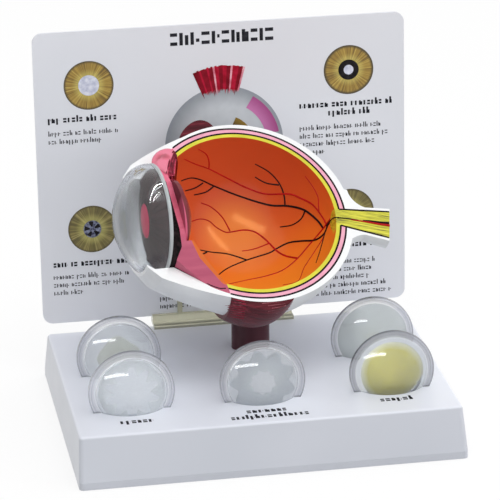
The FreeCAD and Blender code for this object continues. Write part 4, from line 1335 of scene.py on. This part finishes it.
def base_spot(across, up, out):
    """A place on the base's top: across from its middle, back from its middle, above its face."""
    return Vector((across * MM, base_mid_y + up * MM, base_top + out * MM))


print("the card's foot is", round(card_foot.z / MM, 1), "mm above the table")

# %% [markdown]
# ## Marks instead of letters
# Each mark is a stem or a pair of bars, as wide as a letter, drawn by chance with a fixed seed, so
# that the same print comes out every time.  Sizes are shares of the height of a capital.

# %% Greeked marks
BOLD_STROKE, PLAIN_STROKE = 0.27, 0.18
SMALL_LETTER = 0.68
LETTER_GAP, WORD_GAP = 0.17, 0.42
ROW_END = 0.4
LONG_WORD = 99


def block(points, faces, spot, left, right, low, high):
    """One thin box of ink."""
    first = len(points)
    for out in (-INK_SINK, INK_LIFT):
        points += [spot(left, low, out), spot(right, low, out), spot(right, high, out), spot(left, high, out)]
    for quad in ((4, 5, 6, 7), (3, 2, 1, 0), (0, 1, 5, 4), (1, 2, 6, 5), (2, 3, 7, 6), (3, 0, 4, 7)):
        faces.append(tuple(first + corner for corner in quad))


def mark(points, faces, spot, left, foot, height, body, weight, chance):
    """One stand-in for a letter: a stem or two short bars, never joined.  Returns its width."""
    wide = chance.uniform(0.53, 0.76) * body
    kind = chance.random()
    if kind < 0.35:
        stem = chance.choice((body, body, height))
        block(points, faces, spot, left, left + weight, foot, foot + stem)
        block(points, faces, spot, left + wide - weight, left + wide, foot, foot + 0.8 * body)
    elif kind < 0.65:
        low = -0.25 * height if chance.random() < 0.2 else 0.0
        block(points, faces, spot, left, left + weight, foot + low, foot + body)
        bar = foot + chance.uniform(0.1, 0.6) * body
        block(points, faces, spot, left + 1.6 * weight, left + wide, bar, bar + weight)
    elif kind < 0.9:
        for bar in (foot, foot + body - weight):
            block(points, faces, spot, left, left + wide, bar, bar + weight)
    else:
        wide = weight
        block(points, faces, spot, left, left + weight, foot, foot + chance.choice((body, height)))
    return wide


def greeked(name, spot, rows, height, body, seed, bold=False, tall=False, one_word=False):
    """Rows of marks, each row given by its left end, its foot and its length."""
    chance = random.Random(seed)
    weight = (BOLD_STROKE if bold else PLAIN_STROKE) * height
    size = height if tall else SMALL_LETTER * height
    points, faces = [], []
    for left, foot, length in rows:
        at, in_word = left, LONG_WORD if one_word else chance.randint(3, 8)
        while at < left + length - ROW_END * height:
            at += mark(points, faces, spot, at, foot, height, size, weight, chance) + LETTER_GAP * height
            in_word -= 1
            if in_word == 0:
                at += WORD_GAP * height
                in_word = chance.randint(2, 8)
    return add_piece(name, points, faces, body, ink_black)


ink_black = mottled("ink_black", (20, 20, 26), (48, 48, 56), 700, Roughness=0.6, Specular_IOR_Level=0.1)
print("ink mixed")

# %% [markdown]
# ## Laying the passages
# Headings are bold, and running text stands in rows of one pitch.  A row is given by its left end,
# its foot and its length, in millimetres on the card or on the base.

# %% Passages of print
PARAGRAPH_PITCH = 3.7
SMALL, HEADING, LABEL, TITLE = 2.3, 3.0, 4.0, 5.6


def line_rows(left, foot, *lengths):
    """Rows under one another from the same left end."""
    return [(left, foot - PARAGRAPH_PITCH * i, length) for i, length in enumerate(lengths)]


CARD_PASSAGES = [
    ("card_title", TITLE, [(-22.0, 124.3, 47.0)]),
    ("card_heading_1", HEADING, [(-77.0, 92.8, 31.0)]),
    ("card_text_1", SMALL, line_rows(-77.0, 86.9, 31, 24)),
    ("card_heading_2", HEADING, [(-77.0, 26.2, 36.0)]),
    ("card_text_2", SMALL, line_rows(-77.2, 20.6, 35, 32, 13)),
    ("card_heading_3", HEADING, [(35.0, 92.0, 42.0), (48.0, 88.0, 20.0)]),
    ("card_text_3", SMALL, line_rows(35.0, 81.8, 37, 41, 35, 12)),
    ("card_heading_4", HEADING, [(35.0, 26.0, 38.0)]),
    ("card_text_4", SMALL, line_rows(36.0, 18.4, 33, 31, 30, 38, 41)),
    ("card_text_5", SMALL, line_rows(-29.8, 7.0, 32, 30)),
]
BASE_LABELS = [[(-62.6, -47.0, 15.5)], [(-9.0, -46.6, 18.5), (-16.5, -52.2, 34.0)], [(48.6, -45.6, 14.5)]]

for seed, (name, height, rows) in enumerate(CARD_PASSAGES, 1):
    title = height == TITLE
    greeked(name, card_spot, rows, height, "card", seed, bold=height > SMALL, tall=title, one_word=title)
for number, rows in enumerate(BASE_LABELS, 1):
    greeked("base_label_%d" % number, base_spot, rows, LABEL, "stand", len(CARD_PASSAGES) + number,
            bold=True, one_word=True)
print(len(CARD_PASSAGES) + len(BASE_LABELS), "passages printed")

# %% [markdown]
# ## Pictures on the card
# Four small round pictures of an iris stand at the card's corners.  They are made of flat rings
# and ring sectors of ink, one layer on another.  A disc is a ring with a hole too small to see.

# %% Flat rings
def flat_ring(name, middle, inner, outer, layer, recipe, start=0, end=360):
    """A flat ring sector of ink on the card; angles are in degrees from the right."""
    steps = max(8, round((end - start) / 5))
    points, faces = [], []
    for out in (-INK_SINK, layer * INK_LIFT):
        for radius in (inner, outer):
            for i in range(steps + 1):
                angle = math.radians(start + (end - start) * i / steps)
                points.append(card_spot(middle[0] + radius * math.cos(angle),
                                        middle[1] + radius * math.sin(angle), out))
    row = steps + 1
    for i in range(steps):
        faces += [(2 * row + i, 3 * row + i, 3 * row + i + 1, 2 * row + i + 1),
                  (i, i + 1, row + i + 1, row + i),
                  (row + i, row + i + 1, 3 * row + i + 1, 3 * row + i),
                  (i + 1, i, 2 * row + i, 2 * row + i + 1)]
    if end - start < 360:
        faces += [(0, row, 3 * row, 2 * row), (steps, 2 * row + steps, 3 * row + steps, row + steps)]
    piece = add_piece(name, points, faces, "card", recipe)
    clean_up(piece, 1e-7)
    return piece


print("ink lies", INK_LIFT, "mm thick per layer")

# %% [markdown]
# ## Inks for the irises
# Each iris has radial rays, from noise that is read by direction from the disc's middle.  The
# colours brighten towards the pupil and end in a dark rim.  The pupils have clouds in them.

# %% Iris inks
def rayed(name, middle, seed, *stops):
    """Ink with rays from a middle on the card: brighter towards the middle, dark at the rim."""
    ink = Recipe(name, Roughness=0.45, Coat_Weight=0.15)
    centre = card_spot(*middle, 0)
    place = ink.in_axes(Vector((1, 0, 0)), card_up, card_out, centre)
    streaky = ink.ramp(ink.rays(place, 9, shift=(seed, 0, 0), detail=4, rough=0.7), *stops)
    reach = ink.away(centre)
    bright = ink.mix(ink.span(reach, 8.0 * MM, 4.5 * MM), streaky, paint(196, 190, 104), "SCREEN")
    bright = ink.mix(0.45, streaky, bright)
    ink.colour(ink.mix(ink.span(reach, 9.6 * MM, 10.9 * MM), bright, paint(70, 58, 28)))
    return ink


def clouded(name, first, second, scale=500):
    """Dull ink with small clouds in it."""
    return mottled(name, first, second, scale, detail=4, start=0.35, end=0.65, Roughness=0.5,
                   Specular_IOR_Level=0.1)


print("iris inks ready")

# %% [markdown]
# ## Laying the iris pictures
# Two irises are olive and two are greyer.  Their pupils differ: one is pale, one is blue with dark
# arcs, one is a dark ring round a pale middle, and one is plain dark.

# %% Iris pictures
DISC_HOLE = 0.01
OLIVE = ((0.32, paint(78, 60, 20)), (0.46, paint(140, 110, 38)), (0.58, paint(172, 142, 56)),
         (0.72, paint(206, 184, 100)))
GREY_OLIVE = ((0.32, paint(66, 60, 32)), (0.5, paint(118, 106, 52)), (0.72, paint(172, 158, 96)))
DISCS = {"1": ((-58.5, 108.9), 11.0, OLIVE), "2": ((-59.1, 43.0), 10.8, GREY_OLIVE),
         "3": ((57.4, 108.5), 11.2, OLIVE), "4": ((57.5, 42.3), 10.9, GREY_OLIVE)}
pupil_black = clouded("pupil_black", (18, 16, 18), (40, 36, 38))
pupil_pale = clouded("pupil_pale", (186, 190, 212), (226, 228, 240))
pupil_blue = clouded("pupil_blue", (60, 60, 84), (150, 156, 180), 900)

for number, (middle, radius, stops) in DISCS.items():
    iris_ink = rayed("iris_ink_" + number, middle, float(number), *stops)
    flat_ring("card_iris_" + number, middle, DISC_HOLE, radius, 1, iris_ink)
middles = [middle for middle, _, _ in DISCS.values()]
flat_ring("card_pupil_1", middles[0], DISC_HOLE, 4.6, 2, pupil_pale)
flat_ring("card_pupil_2", middles[1], DISC_HOLE, 4.0, 2, pupil_blue)
for i in range(5):
    start = 72 * i + 10
    flat_ring("card_pupil_2_arc_%d" % i, middles[1], 1.2, 3.6, 3, pupil_black, start, start + 34)
flat_ring("card_pupil_3", middles[2], 2.2, 4.6, 2, pupil_black)
flat_ring("card_pupil_3_middle", middles[2], DISC_HOLE, 2.2, 2, pupil_pale)
flat_ring("card_pupil_4", middles[3], DISC_HOLE, 4.4, 2, pupil_black)
print(len(DISCS), "iris pictures")

# %% [markdown]
# ## The diagram behind the eyeball
# A plain diagram made of rings: a grey ball that darkens towards its rim, a magenta arc for the
# pink coat, a short olive arc inside it, and a fan of red and pale strands for a muscle.  The ball
# and the arcs are ring sectors.  Each strand is a thin patch that ends in a point at its foot.

# %% Ring diagram
BALL_AT = (1.0, 78.0)
BALL_R = 26.5
FAN_FROM, FAN_TO = 74, 112
FAN_INNER, FAN_OUTER = 25.5, 36.0
STRANDS = 26


def on_ball(radius, degrees):
    """A place on the card, given by distance and direction from the ball's middle."""
    turn = math.radians(degrees)
    return BALL_AT[0] + radius * math.cos(turn), BALL_AT[1] + radius * math.sin(turn)


def flat_patch(name, outline, layer, recipe):
    """Ink inside an outline of places on the card."""
    count = len(outline)
    points = [card_spot(across, up, out) for out in (-INK_SINK, layer * INK_LIFT) for across, up in outline]
    faces = [tuple(range(count))[::-1], tuple(range(count, 2 * count))]
    faces += [(i, (i + 1) % count, count + (i + 1) % count, count + i) for i in range(count)]
    return add_piece(name, points, faces, "card", recipe)


def shaded_by_reach(name, inner_colour, outer_colour, start, end):
    """Ink that changes colour with distance from the diagram's middle."""
    ink = Recipe(name, Roughness=0.5, Specular_IOR_Level=0.2)
    reach = ink.away(card_spot(*BALL_AT, 0))
    base = ink.mix(ink.span(reach, start * MM, end * MM), inner_colour, outer_colour)
    grain = ink.ramp(ink.noise(240), (0.3, (0.93, 0.93, 0.93)), (0.7, (1.0, 1.0, 1.0)))
    ink.colour(ink.mix(1.0, base, grain, "MULTIPLY"))
    return ink


ball_grey = shaded_by_reach("ball_grey", paint(208, 212, 217), paint(150, 155, 163), 16, 27)
coat_magenta = shaded_by_reach("coat_magenta", paint(206, 126, 180), paint(170, 78, 136), 18, 26)
arc_olive = shaded_by_reach("arc_olive", paint(96, 74, 34), paint(146, 118, 50), 9, 13)
flat_ring("diagram_ball", BALL_AT, DISC_HOLE, BALL_R, 1, ball_grey, 0, 180)
flat_ring("diagram_coat", BALL_AT, 19.0, 25.0, 2, coat_magenta, 10, 58)
flat_ring("diagram_arc", BALL_AT, 8.0, 13.2, 3, arc_olive, 12, 66)

strand_inks = (clouded("fan_red_ink", (152, 10, 36), (188, 26, 58), 300),
               clouded("fan_dark_ink", (112, 8, 26), (146, 18, 40), 300),
               clouded("fan_pale_ink", (206, 100, 122), (236, 180, 192), 300))
chance = random.Random(21)
pitch = (FAN_TO - FAN_FROM) / STRANDS
for i in range(STRANDS):
    low, high = FAN_FROM + pitch * i, FAN_FROM + pitch * (i + 1)
    tip = on_ball(FAN_INNER - chance.uniform(0.6, 3.4), (low + high) / 2)
    reach = FAN_OUTER + chance.uniform(-0.3, 0.3)
    foot = [on_ball(FAN_INNER, high), tip, on_ball(FAN_INNER, low)]
    outline = foot + [on_ball(reach, low), on_ball(reach, high)]
    flat_patch("diagram_strand_%d" % i, outline, 2, strand_inks[chance.choice((0, 0, 0, 1, 1, 2))])
print("diagram laid with", STRANDS, "strands")
